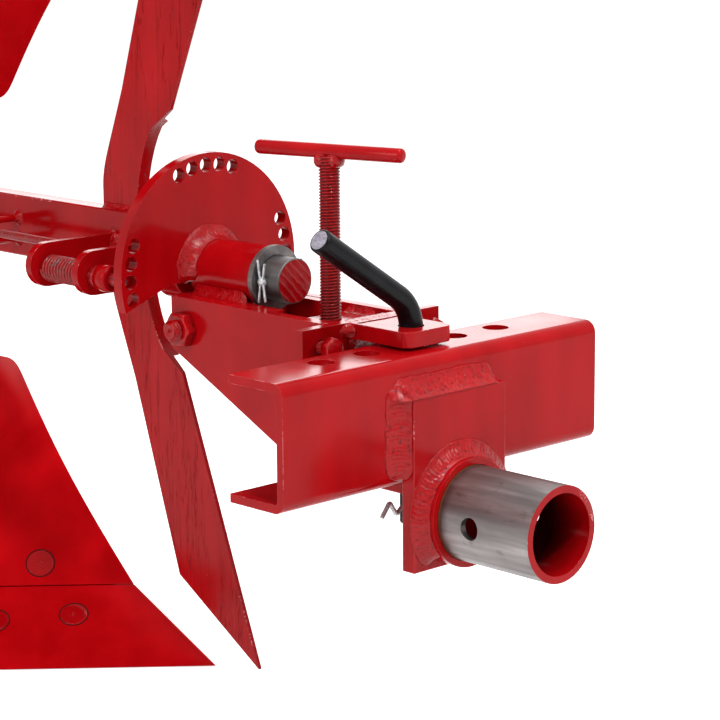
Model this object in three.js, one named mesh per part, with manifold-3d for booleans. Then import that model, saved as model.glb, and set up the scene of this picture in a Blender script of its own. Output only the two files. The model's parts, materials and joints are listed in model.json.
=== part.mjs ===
// Reversible one-furrow mouldboard plough for a two-wheel tractor.
// Millimetres. +X points to the tractor, +Y to the land side, +Z up, with the ground at Z = 0.
// Places along X are measured from the front face of the cross channel.

import * as THREE from 'three';
import { mergeVertices } from 'three/addons/utils/BufferGeometryUtils.js';
import Module from 'manifold-3d';

const wasm = await Module();
wasm.setup();

// ---------------------------------------------------------------- heights
const hitchHeight = 159;        // coupling tube axis above the ground
const shaftHeight = 284;        // turnover shaft axis above the ground

// ---------------------------------------------------------------- clearances
const seat = 0.3;               // daylight where one piece is welded or bolted to another
const turning = 0.2;            // radial play of a turning shaft in its sleeve
const pinPlay = 0.8;            // radial play of a drop-in pin
const thrust = 0.8;             // end play of a turning piece

// ---------------------------------------------------------------- cross channel
const channelLength = 275;
const channelHeight = 78;
const channelDepth = 47;
const channelWall = 5.5;
const channelBend = 8;
const channelRise = 59;         // channel centre above the coupling tube axis
const holePitch = 38.3;
const holeCount = 5;

// ---------------------------------------------------------------- coupling
const plateWidth = 81;
const plateHeight = 108;
const plateThick = 10.4;
const plateRise = 21;           // plate centre above the coupling tube axis
const tubeOuter = 60;
const tubeWall = 4.75;
const tubeLength = 82.6;
const tubeHoleBore = 14;
const tubeHoleSetback = 47.6;   // from the open end of the tube
const collarWall = 4;
const collarLength = 9.5;

// ---------------------------------------------------------------- swing pin
const pinDiameter = 15.4;
const pinSetback = 31.7;        // behind the channel's front face
const pinBend = 15;             // tangent length of the bend
const pinNeck = 12;             // bend corner above the top tongue
const pinArm = 77;              // straight arm after the bend
const pinArmPitch = 33;         // degrees above level
const pinTail = 24;             // straight pin left below the bottom tongue
const clipWire = 3;
const clipReach = 26;           // length of the clip along X

// ---------------------------------------------------------------- swing frame
const crossThick = 7;
const crossWidth = 120;
const crossFront = 66;          // behind the channel's front face
const tongueThick = 10;
const tongueWidth = 41;
const tongueNose = 17.5;        // tongue material in front of the pin axis
const tongueCorner = 7;         // radius of the nose's corners
const tongueGap = 2;            // running gap to the channel's flanges
const cheekThick = 8;
const cheekInside = 54;         // free width between the two cheeks
const cheekLength = 147;
const cheekRearDepth = 35;
const cheekToe = 9;             // flat length of the cheek's lower front corner
const stopSpread = 90;          // between the two stop bolts
const stopThread = 8;
const stopHeadAcross = 13;
const stopHeadThick = 6.5;
const stopTail = 6;             // thread behind the stop bolt's nut
const stopGap = 5.2;            // stop bolt head to channel flange, running straight
const stopDrop = 12;            // below the top of the cross plate

// ---------------------------------------------------------------- pitch pivot and screw
const pivotBolt = 14;
const pivotSetback = 133.7;     // behind the rear face of the cross plate
const pivotDrop = 20.7;         // below the top of the cheeks
const nutAcross = 21;
const nutThick = 9.5;
const boltHeadThick = 8.8;
const threadTail = 4.5;
const screwDiameter = 14;
const screwSetback = 31;        // behind the rear face of the cross plate
const screwFoot = 10;
const barHeight = 102.3;        // above the top of the cheeks
const barLength = 109;
const barDiameter = 9.5;
const barYaw = 14.6;            // degrees from the X axis
const blockLength = 28;
const blockThick = 14.5;
const blockDrop = 5.5;          // block top below the top of the cheeks
const bridgeThick = 18;
const bridgeLength = 26;
const bridgeDrop = 36;          // bridge top below the top of the cheeks
const footPlay = 1.5;           // between the screw's foot and the bridge, above and below
const footSlot = 4;             // half of the slot's straight length
const footSide = 1;             // side play of the foot in the slot
const footCollar = 18;
const footCollarThick = 8;

// ---------------------------------------------------------------- pitch arms and shaft sleeve
const armThick = 7.5;
const armSide = 1;              // side play between arm and cheek
const armRear = 150;            // behind the rear face of the cross plate
const armNotch = 55;            // where the arm steps down to pass under the screw block
const armNose = 13;
const armStepDrop = 36;
const armNoseDepth = 27;
const armNoseSlant = 12;        // length of the cut lower front corner
const armNoseCut = 6;           // its height
const armRearDepth = 34;
const sleeveOuter = 40;
const sleeveFront = 87;         // behind the rear face of the cross plate
const saddleThick = 8;
const saddleInset = 4;          // front saddle behind the sleeve's nose
const saddleDepth = 34;
const rearSaddleDepth = 9;      // over the pivot bush
const bushWall = 4;

// ---------------------------------------------------------------- index disc
const discRadius = 76.5;
const discThick = 8;
const discSetback = 147.4;      // front face behind the rear face of the cross plate
const discDrop = 17;            // degrees the rim runs on below level
const discFlat = 8;             // lower edge below the shaft axis, over the cheeks
const indexRadius = 68.5;
const indexBore = 10;
const indexStep = 10;           // degrees
const latchDip = 2;             // degrees the latch sits below level

// ---------------------------------------------------------------- turnover shaft
const shaftDiameter = 30;
const shaftNose = 23;           // shaft in front of the sleeve
const washerOuter = 43;
const washerThick = 4;
const splitPinWire = 4;
const splitPinSetback = 14;     // behind the shaft's front end
const splitPinLeg = 12;         // how far each bent leg reaches
const splitPinEye = 4;
const hubOuter = 50;
const hubLength = 24;

// ---------------------------------------------------------------- beam
const beamNear = 9;             // furrow-side face from the shaft axis
const beamThick = 16;
const beamHeight = 44;
const beamLift = 8;             // beam centre above the shaft axis
const beamLength = 300;

// ---------------------------------------------------------------- latch
const latchDiameter = 9;
const earThick = 5.8;
const earHeight = 30;
const earLift = 2;              // ear centre above the latch axis
const earFrontSetback = 29.6;   // behind the rear face of the disc
const earSpacing = 50;
const latchCollarOuter = 18;
const latchCollarLength = 12;
const latchCollarGap = 7;       // collar in front of the front ear
const latchTail = 4;            // latch pin behind its pull rod
const springOuter = 19;
const springPlay = 0.6;
const pullRod = 6;
const pullOffset = 25;          // pull rod centre outside the beam's face
const pullLift = 8.5;           // pull rod above the latch axis
const pullLength = 268.26;
const pullLoop = 32;            // length of the hand loop
const pullBend = 8;
const loopLow = 12;             // hand loop below the rod
const loopHigh = 16;            // and above it
const eyeRod = 5;
const eyePlay = 2;              // pull rod in the guide eye
const eyeSetback = 192;         // guide eye behind the disc

// ---------------------------------------------------------------- knives
const knifeThick = 10;
const knifeShank = 36;
const knifeSetback = 91.6;      // rear edge of the lower knife's shank behind the disc
const knifeStagger = 7;         // the upper knife stands this much further back
const knifeStraight = 18;       // shank's rear edge starts to turn at this distance from the shaft axis
const knifeCorner = 28;         // its two straight runs would meet here
const knifeTurned = 42;         // and it is fully turned here
const knifeShoulder = 86;       // rear edge eases to the blade's lean here
const knifeShoulderForward = 23;
const upperShankLonger = 27;    // all of these lie further out on the upper knife
const knifeFlareStart = 62;     // front edge flares out to the blade
const knifeFlareEnd = 75.5;
const knifeFlareInner = 54;     // front edge before the flare, from the shank's rear edge
const knifeFlareOuter = 74;
const knifeLean = 18;           // degrees
const knifeReach = 270;         // toe from the shaft axis
const knifeHeel = 219.5;        // heel from the shaft axis
const knifeToeForward = 147.5;  // toe in front of the shank's rear edge
const knifeGrind = 40;          // width of the ground bevel on the land side
const knifeEdge = 3;            // thickness left at the front edge

// ---------------------------------------------------------------- plough bodies
const shinOffset = 8;           // land-side plane of the body from the centre plane
const shareTipSetback = 231;    // behind the channel's front face
const shareAngle = 48;          // degrees, cutting edge to the line of travel
const shareRise = 41;           // crease above the ground
const shareRun = 89;            // length of the share's land-side edge along X
const shareEdgeLength = 232;
const shareTopLength = 165;
const shareThick = 6;
const shareEdge = 0.6;          // thickness left at the cutting edge
const boardThick = 4.5;
const boardTop = 187;           // shin corner above the ground
const boardRun = 132;           // shin's run along X from crease to corner
const boardCurl = 9;            // how far the shin bows forward of a straight line
const boardTwist = 13;          // degrees the board turns over from crease to top
const boardLength = 262;
const boardCrest = 34;          // how far the top edge climbs above the shin corner
const boardCorner = 6;          // radius of the shin's top corner
const cornerColumns = 0.25;     // share of the mesh columns laid inside that corner
const frogThick = 8;
const frogLength = 105;
const legThick = 12;
const legWidth = 62;
const legFront = 476;           // behind the channel's front face
const landsideThick = 7.4;
const landsideHeight = 42;
const landsideLength = 270;
const landsideNose = 330;       // behind the channel's front face
const braceDiameter = 14;
const braceRootHeight = 70;     // where the brace meets the leg
const braceHeadHeight = 110;    // where it meets the back of the board
const braceHeadAlong = 190;     // the same, back from the shin

const segments = 6;             // half the facets in a quarter of a large round outline
const fewSegments = 3;          // the same for small holes and pins

// ================================================================ materials
function finish(color, roughness, metalness) {
  return new THREE.MeshStandardMaterial({ color, roughness, metalness });
}
const redPaint = finish(0xb01218, 0.3, 0.1);
const turnedSteel = finish(0x8c8880, 0.35, 1.0);
const blackSteel = finish(0x16181a, 0.45, 0.6);
const zincSteel = finish(0xb9bcc0, 0.3, 1.0);

// ================================================================ solids
const degrees = Math.PI / 180;
const alongX = new THREE.Matrix4().makeBasis(
  new THREE.Vector3(0, 1, 0), new THREE.Vector3(0, 0, 1), new THREE.Vector3(1, 0, 0));
const alongY = new THREE.Matrix4().makeBasis(
  new THREE.Vector3(1, 0, 0), new THREE.Vector3(0, 0, 1), new THREE.Vector3(0, -1, 0));

function toSolid(geometry) {
  const bare = geometry.index ? geometry.toNonIndexed() : geometry.clone();
  bare.deleteAttribute('normal');
  bare.deleteAttribute('uv');
  const merged = mergeVertices(bare, 1e-4);
  return new wasm.Manifold(new wasm.Mesh({
    numProp: 3,
    vertProperties: new Float32Array(merged.attributes.position.array),
    triVerts: new Uint32Array(merged.index.array),
  }));
}

function toGeometry(solid) {
  const { vertProperties, triVerts } = solid.getMesh();
  const geometry = new THREE.BufferGeometry();
  geometry.setAttribute('position', new THREE.BufferAttribute(vertProperties, 3));
  geometry.setIndex(new THREE.BufferAttribute(triVerts, 1));
  return geometry;
}

function extrude(shape, depth, curveSegments = segments) {
  return new THREE.ExtrudeGeometry(shape, { depth, bevelEnabled: false, curveSegments });
}

// Shapes drawn in (y, z), (x, z) or (x, y), spread from one place to another along the third axis.
function spreadX(shape, x0, x1, curveSegments) {
  return toSolid(extrude(shape, x1 - x0, curveSegments).applyMatrix4(alongX).translate(x0, 0, 0));
}
function spreadY(shape, y0, y1, curveSegments) {
  return toSolid(extrude(shape, y1 - y0, curveSegments).applyMatrix4(alongY).translate(0, y1, 0));
}
function spreadZ(shape, z0, z1, curveSegments) {
  return toSolid(extrude(shape, z1 - z0, curveSegments).translate(0, 0, z0));
}

function outline(points) {
  return new THREE.Shape(points.map(([a, b]) => new THREE.Vector2(a, b)));
}

function rectangle(a0, a1, b0, b1) {
  return outline([[a0, b0], [a1, b0], [a1, b1], [a0, b1]]);
}

function disc(a, b, radius) {
  const shape = new THREE.Shape();
  for (let quarter = 0; quarter < 4; quarter += 1) {
    shape.absarc(a, b, radius, quarter * Math.PI / 2, (quarter + 1) * Math.PI / 2, false);
  }
  return shape;
}

function ring(a, b, outer, inner) {
  const shape = disc(a, b, outer);
  shape.holes.push(disc(a, b, inner));
  return shape;
}

function hexagon(a, b, across, turn = 0) {
  const corner = across / 2 / Math.cos(30 * degrees);
  return outline(Array.from({ length: 6 }, (_, i) => [
    a + corner * Math.cos((turn + i * 60) * degrees),
    b + corner * Math.sin((turn + i * 60) * degrees),
  ]));
}

function bent(points, radius, steps, sides) {
  const path = new THREE.CurvePath();
  points.slice(1).forEach((point, i) => path.add(
    point.corner
      ? new THREE.QuadraticBezierCurve3(points[i].end, point.corner, point.end)
      : new THREE.LineCurve3(points[i].end, point.end)));
  const section = outline(Array.from({ length: sides }, (_, i) => [
    radius * Math.cos(i * 2 * Math.PI / sides),
    radius * Math.sin(i * 2 * Math.PI / sides),
  ]));
  return new THREE.ExtrudeGeometry(section, { steps, bevelEnabled: false, extrudePath: path });
}

// A rod bent through straight runs, with a round bend of the given size at each inner corner.
function bentRod(corners, bend, diameter, steps = 60, sides = 16) {
  const points = [{ end: corners[0] }];
  for (let i = 1; i < corners.length - 1; i += 1) {
    const back = corners[i - 1].clone().sub(corners[i]).setLength(bend);
    const ahead = corners[i + 1].clone().sub(corners[i]).setLength(bend);
    points.push({ end: corners[i].clone().add(back) });
    points.push({ corner: corners[i], end: corners[i].clone().add(ahead) });
  }
  points.push({ end: corners[corners.length - 1] });
  return toSolid(bent(points, diameter / 2, steps, sides));
}

const plough = new THREE.Group();

function piece(name, solid, material) {
  const mesh = new THREE.Mesh(toGeometry(solid), material);
  mesh.name = name;
  plough.add(mesh);
}

function point(x, y, z) {
  return new THREE.Vector3(x, y, z);
}

// ================================================================ hitch
const channelBottom = hitchHeight + channelRise - channelHeight / 2;
const channelTop = channelBottom + channelHeight;
const pinX = -pinSetback;
const holeRadius = pinDiameter / 2 + pinPlay;

function channelProfile() {
  const shape = new THREE.Shape();
  const inner = channelBend - channelWall;
  const low = channelBottom;
  const high = channelTop;
  shape.moveTo(-channelDepth, low);
  shape.lineTo(-channelBend, low);
  shape.absarc(-channelBend, low + channelBend, channelBend, -Math.PI / 2, 0, false);
  shape.absarc(-channelBend, high - channelBend, channelBend, 0, Math.PI / 2, false);
  shape.lineTo(-channelDepth, high);
  shape.lineTo(-channelDepth, high - channelWall);
  shape.lineTo(-channelBend, high - channelWall);
  shape.absarc(-channelBend, high - channelBend, inner, Math.PI / 2, 0, true);
  shape.absarc(-channelBend, low + channelBend, inner, 0, -Math.PI / 2, true);
  shape.lineTo(-channelDepth, low + channelWall);
  return shape;
}

function crossChannel() {
  let solid = spreadY(channelProfile(), -channelLength / 2, channelLength / 2, fewSegments);
  for (let i = 0; i < holeCount; i += 1) {
    const y = (i - (holeCount - 1) / 2) * holePitch;
    const hole = disc(pinX, y, holeRadius);
    solid = solid.subtract(spreadZ(hole, channelBottom - 1, channelTop + 1, fewSegments));
  }
  return solid;
}

const plateBack = seat;
const plateFront = plateBack + plateThick;
const tubeBack = plateFront + seat;
const tubeFront = tubeBack + tubeLength;

function couplingPlate() {
  const low = hitchHeight + plateRise - plateHeight / 2;
  return spreadX(rectangle(-plateWidth / 2, plateWidth / 2, low, low + plateHeight), plateBack, plateFront);
}

function couplingTube() {
  const wall = ring(0, hitchHeight, tubeOuter / 2, tubeOuter / 2 - tubeWall);
  const hole = disc(tubeFront - tubeHoleSetback, hitchHeight, tubeHoleBore / 2);
  return spreadX(wall, tubeBack, tubeFront).subtract(spreadY(hole, -tubeOuter, tubeOuter, fewSegments));
}

function couplingCollar() {
  const inner = tubeOuter / 2 + seat;
  return spreadX(ring(0, hitchHeight, inner + collarWall, inner), tubeBack, tubeBack + collarLength);
}

const topTongueLow = channelTop + tongueGap;
const frameTop = topTongueLow + tongueThick;
const bottomTongueHigh = channelBottom - tongueGap;
const frameBottom = bottomTongueHigh - tongueThick;
const pinBottom = frameBottom - pinTail;
const clipHeight = frameBottom - pinTail / 2;

function swingPin() {
  const pitch = pinArmPitch * degrees;
  const corner = point(pinX, 0, frameTop + pinNeck);
  const outwards = point(0, -Math.cos(pitch), Math.sin(pitch));
  const end = corner.clone().addScaledVector(outwards, pinArm + pinBend);
  const rod = bentRod([point(pinX, 0, pinBottom), corner, end], pinBend, pinDiameter, 30, 18);
  const hole = disc(0, clipHeight, clipWire / 2 + seat);
  return rod.subtract(spreadX(hole, pinX - pinDiameter, pinX + pinDiameter, 2));
}

function pinClip() {
  const straight = point(pinX - clipReach / 2, 0, clipHeight);
  const front = point(pinX + clipReach / 2, 0, clipHeight);
  const side = -pinDiameter / 2 - clipWire;
  const back = point(pinX + clipReach / 2 - clipWire, side - clipWire, clipHeight);
  return bentRod([
    straight, front, back,
    point(pinX, side, clipHeight),
    point(pinX - clipReach / 2, side - clipWire, clipHeight),
  ], clipWire, clipWire, 32, 6);
}

piece('cross_channel', crossChannel(), redPaint);
piece('coupling_plate', couplingPlate(), redPaint);
piece('coupling_tube', couplingTube(), turnedSteel);
piece('coupling_collar', couplingCollar(), redPaint);
piece('swing_pin', swingPin(), blackSteel);
piece('pin_clip', pinClip(), zincSteel);

// ================================================================ swing frame
const crossFace = -crossFront;
const crossBack = crossFace - crossThick;

function tongue(low) {
  const half = tongueWidth / 2;
  const corner = pinX + tongueNose - tongueCorner;
  const shape = new THREE.Shape();
  shape.moveTo(crossFace + seat, -half);
  shape.lineTo(corner, -half);
  shape.absarc(corner, tongueCorner - half, tongueCorner, -Math.PI / 2, 0, false);
  shape.absarc(corner, half - tongueCorner, tongueCorner, 0, Math.PI / 2, false);
  shape.lineTo(crossFace + seat, half);
  shape.holes.push(disc(pinX, 0, pinDiameter / 2 + pinPlay / 2));
  return spreadZ(shape, low, low + tongueThick, fewSegments);
}

const stopHeight = frameTop - stopDrop;

function crossPlate() {
  const blank = rectangle(-crossWidth / 2, crossWidth / 2, frameBottom, frameTop);
  let solid = spreadX(blank, crossBack, crossFace);
  [-1, 1].forEach((side) => {
    const hole = disc(side * stopSpread / 2, stopHeight, stopThread / 2 + seat);
    solid = solid.subtract(spreadX(hole, crossBack - 1, crossFace + 1, 2));
  });
  return solid;
}

function stopBolt(side) {
  const y = side * stopSpread / 2;
  const headFront = -channelDepth - stopGap;
  const nutFront = crossBack - seat;
  const tail = nutFront - stopHeadThick - stopTail;
  const shank = spreadX(disc(y, stopHeight, stopThread / 2), tail, headFront - 1, 2);
  const hex = hexagon(y, stopHeight, stopHeadAcross, 30);
  const head = spreadX(hex, headFront - stopHeadThick, headFront);
  const nut = spreadX(hex, nutFront - stopHeadThick, nutFront);
  return shank.add(head).add(nut);
}

const pivotX = crossBack - pivotSetback;
const pivotZ = frameTop - pivotDrop;
const cheekInner = cheekInside / 2;
const cheekOuter = cheekInner + cheekThick;
const cheekRear = crossBack - cheekLength;

function cheek(side) {
  const front = crossBack - seat;
  const shape = outline([
    [cheekRear, frameTop], [cheekRear, frameTop - cheekRearDepth],
    [front - cheekToe, frameBottom], [front, frameBottom], [front, frameTop],
  ]);
  shape.holes.push(disc(pivotX, pivotZ, pivotBolt / 2 + seat));
  const inner = side * cheekInner;
  const outer = side * cheekOuter;
  return spreadY(shape, Math.min(inner, outer), Math.max(inner, outer), fewSegments);
}

function pivotBoltSolid() {
  const face = cheekOuter + seat;
  const tail = -face - nutThick - threadTail;
  const shank = spreadY(disc(pivotX, pivotZ, pivotBolt / 2), tail, face + 1, fewSegments);
  const nut = spreadY(hexagon(pivotX, pivotZ, nutAcross), -face - nutThick, -face);
  const head = spreadY(hexagon(pivotX, pivotZ, nutAcross), face, face + boltHeadThick);
  return shank.add(nut).add(head);
}

const screwX = crossBack - screwSetback;
const blockTop = frameTop - blockDrop;

function screwBlock() {
  const half = cheekInner - seat;
  const shape = rectangle(screwX - blockLength / 2, screwX + blockLength / 2, -half, half);
  shape.holes.push(disc(screwX, 0, screwDiameter / 2 + turning));
  return spreadZ(shape, blockTop - blockThick, blockTop);
}

piece('top_tongue', tongue(topTongueLow), redPaint);
piece('bottom_tongue', tongue(frameBottom), redPaint);
piece('cross_plate', crossPlate(), redPaint);
piece('stop_bolt_right', stopBolt(-1), redPaint);
piece('stop_bolt_left', stopBolt(1), redPaint);
piece('cheek_right', cheek(-1), redPaint);
piece('cheek_left', cheek(1), redPaint);
piece('screw_block', screwBlock(), redPaint);
piece('pivot_bolt', pivotBoltSolid(), redPaint);

// ================================================================ depth screw
const bridgeTop = frameTop - bridgeDrop;
const bridgeBottom = bridgeTop - bridgeThick;

function depthScrew() {
  const barZ = frameTop + barHeight;
  const shoulder = bridgeTop + footPlay;
  const collarTop = bridgeBottom - footPlay;
  const thread = spreadZ(disc(screwX, 0, screwDiameter / 2), shoulder, barZ, fewSegments);
  const foot = spreadZ(disc(screwX, 0, screwFoot / 2), collarTop - footCollarThick, shoulder + 1, 2);
  const collar = spreadZ(disc(screwX, 0, footCollar / 2), collarTop - footCollarThick, collarTop, 2);
  const bar = toSolid(extrude(disc(0, 0, barDiameter / 2), barLength, fewSegments)
    .translate(0, 0, -barLength / 2)
    .rotateY(Math.PI / 2)
    .rotateZ(barYaw * degrees)
    .translate(screwX, 0, barZ));
  return thread.add(foot).add(collar).add(bar);
}

piece('depth_screw', depthScrew(), redPaint);

// ================================================================ pitch arms, sleeve and index disc
const armOuter = cheekInner - armSide;
const armInner = armOuter - armThick;
const sleeveNose = crossBack - sleeveFront;
const discFront = crossBack - discSetback;
const discBack = discFront - discThick;
const armTail = crossBack - armRear;

function pitchArm(side) {
  const nose = crossBack - armNose;
  const notch = crossBack - armNotch;
  const step = frameTop - armStepDrop;
  const shape = outline([
    [armTail, frameTop], [armTail, frameTop - armRearDepth],
    [nose - armNoseSlant, step - armNoseDepth], [nose, step - armNoseDepth + armNoseCut],
    [nose, step], [notch, step], [notch, frameTop],
  ]);
  shape.holes.push(disc(pivotX, pivotZ, pivotBolt / 2 + turning));
  const inner = side * armInner;
  const outer = side * armOuter;
  return spreadY(shape, Math.min(inner, outer), Math.max(inner, outer), fewSegments);
}

const webHalf = armInner - seat;

function screwBridge() {
  const shape = rectangle(screwX - bridgeLength / 2, screwX + bridgeLength / 2, -webHalf, webHalf);
  const slot = new THREE.Shape();
  const reach = screwFoot / 2 + footSide;
  slot.absarc(screwX + footSlot, 0, reach, -Math.PI / 2, Math.PI / 2, false);
  slot.absarc(screwX - footSlot, 0, reach, Math.PI / 2, 1.5 * Math.PI, false);
  shape.holes.push(slot);
  return spreadZ(shape, bridgeBottom, bridgeTop, fewSegments);
}

function pivotBush() {
  const inner = pivotBolt / 2 + turning;
  return spreadY(ring(pivotX, pivotZ, inner + bushWall, inner), -webHalf, webHalf, fewSegments);
}

const sleeveBore = shaftDiameter / 2 + turning;

function shaftSleeve() {
  return spreadX(ring(0, shaftHeight, sleeveOuter / 2, sleeveBore), discFront + seat, sleeveNose);
}

function saddle(front, depth) {
  const outer = rectangle(-webHalf, webHalf, frameTop - depth, frameTop);
  const block = spreadX(outer, front - saddleThick, front);
  const round = spreadX(disc(0, shaftHeight, sleeveOuter / 2 + seat), front - saddleThick - 1, front + 1);
  return block.subtract(round);
}

function indexDisc() {
  const shape = new THREE.Shape();
  const run = (90 + discDrop) * degrees;
  const foot = cheekOuter;
  shape.moveTo(-foot, shaftHeight - discFlat);
  shape.lineTo(foot, shaftHeight - discFlat);
  shape.absarc(0, shaftHeight, discRadius, Math.PI / 2 - run, Math.PI / 2, false);
  shape.absarc(0, shaftHeight, discRadius, Math.PI / 2, Math.PI / 2 + run, false);
  let solid = spreadX(shape, discBack, discFront, 2 * segments);
  const groups = [
    { middle: 180 + latchDip, before: 2, after: 1 },
    { middle: 90 + latchDip, before: 2, after: 2 },
    { middle: latchDip, before: 1, after: 2 },
  ];
  groups.forEach(({ middle, before, after }) => {
    for (let i = -before; i <= after; i += 1) {
      const angle = (middle + i * indexStep) * degrees;
      const y = indexRadius * Math.cos(angle);
      const hole = disc(y, shaftHeight + indexRadius * Math.sin(angle), indexBore / 2);
      solid = solid.subtract(spreadX(hole, discBack - 1, discFront + 1, fewSegments));
    }
  });
  return solid.subtract(spreadX(disc(0, shaftHeight, sleeveBore), discBack - 1, discFront + 1));
}

piece('pitch_arm_right', pitchArm(-1), redPaint);
piece('pitch_arm_left', pitchArm(1), redPaint);
piece('screw_bridge', screwBridge(), redPaint);
piece('pivot_bush', pivotBush(), redPaint);
piece('shaft_sleeve', shaftSleeve(), redPaint);
piece('saddle_front', saddle(sleeveNose - saddleInset, saddleDepth), redPaint);
piece('saddle_rear', saddle(discFront + seat + saddleThick, rearSaddleDepth), redPaint);
piece('index_disc', indexDisc(), redPaint);

// ================================================================ turnover shaft and beam
const washerBack = sleeveNose + thrust;
const shaftFront = sleeveNose + shaftNose;
const hubFront = discBack - thrust;
const hubBack = hubFront - hubLength;
const beamFront = hubBack - seat;
const beamRear = beamFront - beamLength;
const splitPinX = shaftFront - splitPinSetback;

function turnoverShaft() {
  const bar = spreadX(disc(0, shaftHeight, shaftDiameter / 2), hubBack, shaftFront);
  const cross = disc(splitPinX, shaftHeight, splitPinWire / 2 + seat);
  return bar.subtract(spreadY(cross, -shaftDiameter, shaftDiameter, 2));
}

// The split pin lies across the shaft: its eye on the land side, its two legs bent up and down.
function splitPin() {
  const half = shaftDiameter / 2;
  const wire = splitPinWire / 2;
  const legsY = -half - seat - wire;
  const stem = spreadY(disc(splitPinX, shaftHeight, wire), legsY, half + seat + wire, 2);
  const legs = spreadZ(disc(splitPinX, legsY, wire), shaftHeight - splitPinLeg, shaftHeight + splitPinLeg, 2);
  const inside = splitPinEye - splitPinWire * 0.7;
  const loop = ring(half + seat + splitPinEye, shaftHeight, splitPinEye, inside);
  return stem.add(legs).add(spreadX(loop, splitPinX - wire, splitPinX + wire, 2));
}

function washer() {
  const round = ring(0, shaftHeight, washerOuter / 2, shaftDiameter / 2 + seat);
  return spreadX(round, washerBack, washerBack + washerThick);
}

const beamFace = -beamNear;
const beamTop = shaftHeight + beamLift + beamHeight / 2;
const beamBottom = beamTop - beamHeight;

function beam() {
  return spreadX(rectangle(beamFace, beamFace + beamThick, beamBottom, beamTop), beamRear, beamFront);
}

piece('turnover_shaft', turnoverShaft(), turnedSteel);
piece('shaft_washer', washer(), turnedSteel);
piece('split_pin', splitPin(), zincSteel);
piece('shaft_hub',
  spreadX(ring(0, shaftHeight, hubOuter / 2, shaftDiameter / 2 + seat), hubBack, hubFront), redPaint);
piece('beam', beam(), redPaint);

// ================================================================ latch
const latchY = -indexRadius * Math.cos(latchDip * degrees);
const latchZ = shaftHeight - indexRadius * Math.sin(latchDip * degrees);
const latchTip = discBack - thrust;
const earFront = discBack - earFrontSetback;
const rearEarFront = earFront - earSpacing;

function latchEar(front) {
  const shape = new THREE.Shape();
  const half = earHeight / 2;
  const z = latchZ + earLift;
  shape.moveTo(beamFace - seat, z - half);
  shape.lineTo(beamFace - seat, z + half);
  shape.absarc(latchY, z, half, Math.PI / 2, 1.5 * Math.PI, false);
  shape.holes.push(disc(latchY, latchZ, latchDiameter / 2 + turning));
  return spreadX(shape, front - earThick, front);
}

const springFront = earFront - earThick - springPlay;
const springBack = rearEarFront + springPlay;
const latchRear = rearEarFront - earThick - pullRod - latchTail;

function latchPin() {
  const back = earFront + latchCollarGap;
  const stem = spreadX(disc(latchY, latchZ, latchDiameter / 2), latchRear, latchTip, fewSegments);
  const round = disc(latchY, latchZ, latchCollarOuter / 2);
  return stem.add(spreadX(round, back, back + latchCollarLength, fewSegments));
}

function latchSpring() {
  const inner = latchDiameter / 2 + springPlay;
  return spreadX(ring(latchY, latchZ, springOuter / 2, inner), springBack, springFront, fewSegments);
}

const pullY = beamFace - pullOffset;
const pullZ = latchZ + pullLift;

function pullRodSolid() {
  const start = latchRear - seat - pullRod / 2;
  const end = start - pullLength;
  return bentRod([
    point(start, latchY - 2, latchZ),
    point(start, pullY, pullZ),
    point(end, pullY, pullZ),
    point(end - pullLoop, pullY, pullZ - loopLow),
    point(end - pullLoop, pullY, pullZ + loopHigh),
    point(end - 2, pullY, pullZ + 10),
  ], pullBend, pullRod, 84, 8);
}

function guideEye() {
  const x = discBack - eyeSetback;
  const half = pullRod / 2 + eyePlay + eyeRod / 2;
  const root = beamFace - seat;
  return bentRod([
    point(x, root, pullZ + half),
    point(x, pullY - half, pullZ + half),
    point(x, pullY - half, pullZ - half),
    point(x, root, pullZ - half),
  ], half * 0.9, eyeRod, 26, 8);
}

piece('latch_ear_front', latchEar(earFront), redPaint);
piece('latch_ear_rear', latchEar(rearEarFront), redPaint);
piece('latch_pin', latchPin(), redPaint);
piece('latch_spring', latchSpring(), redPaint);
piece('pull_rod', pullRodSolid(), redPaint);
piece('guide_eye', guideEye(), redPaint);

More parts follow.
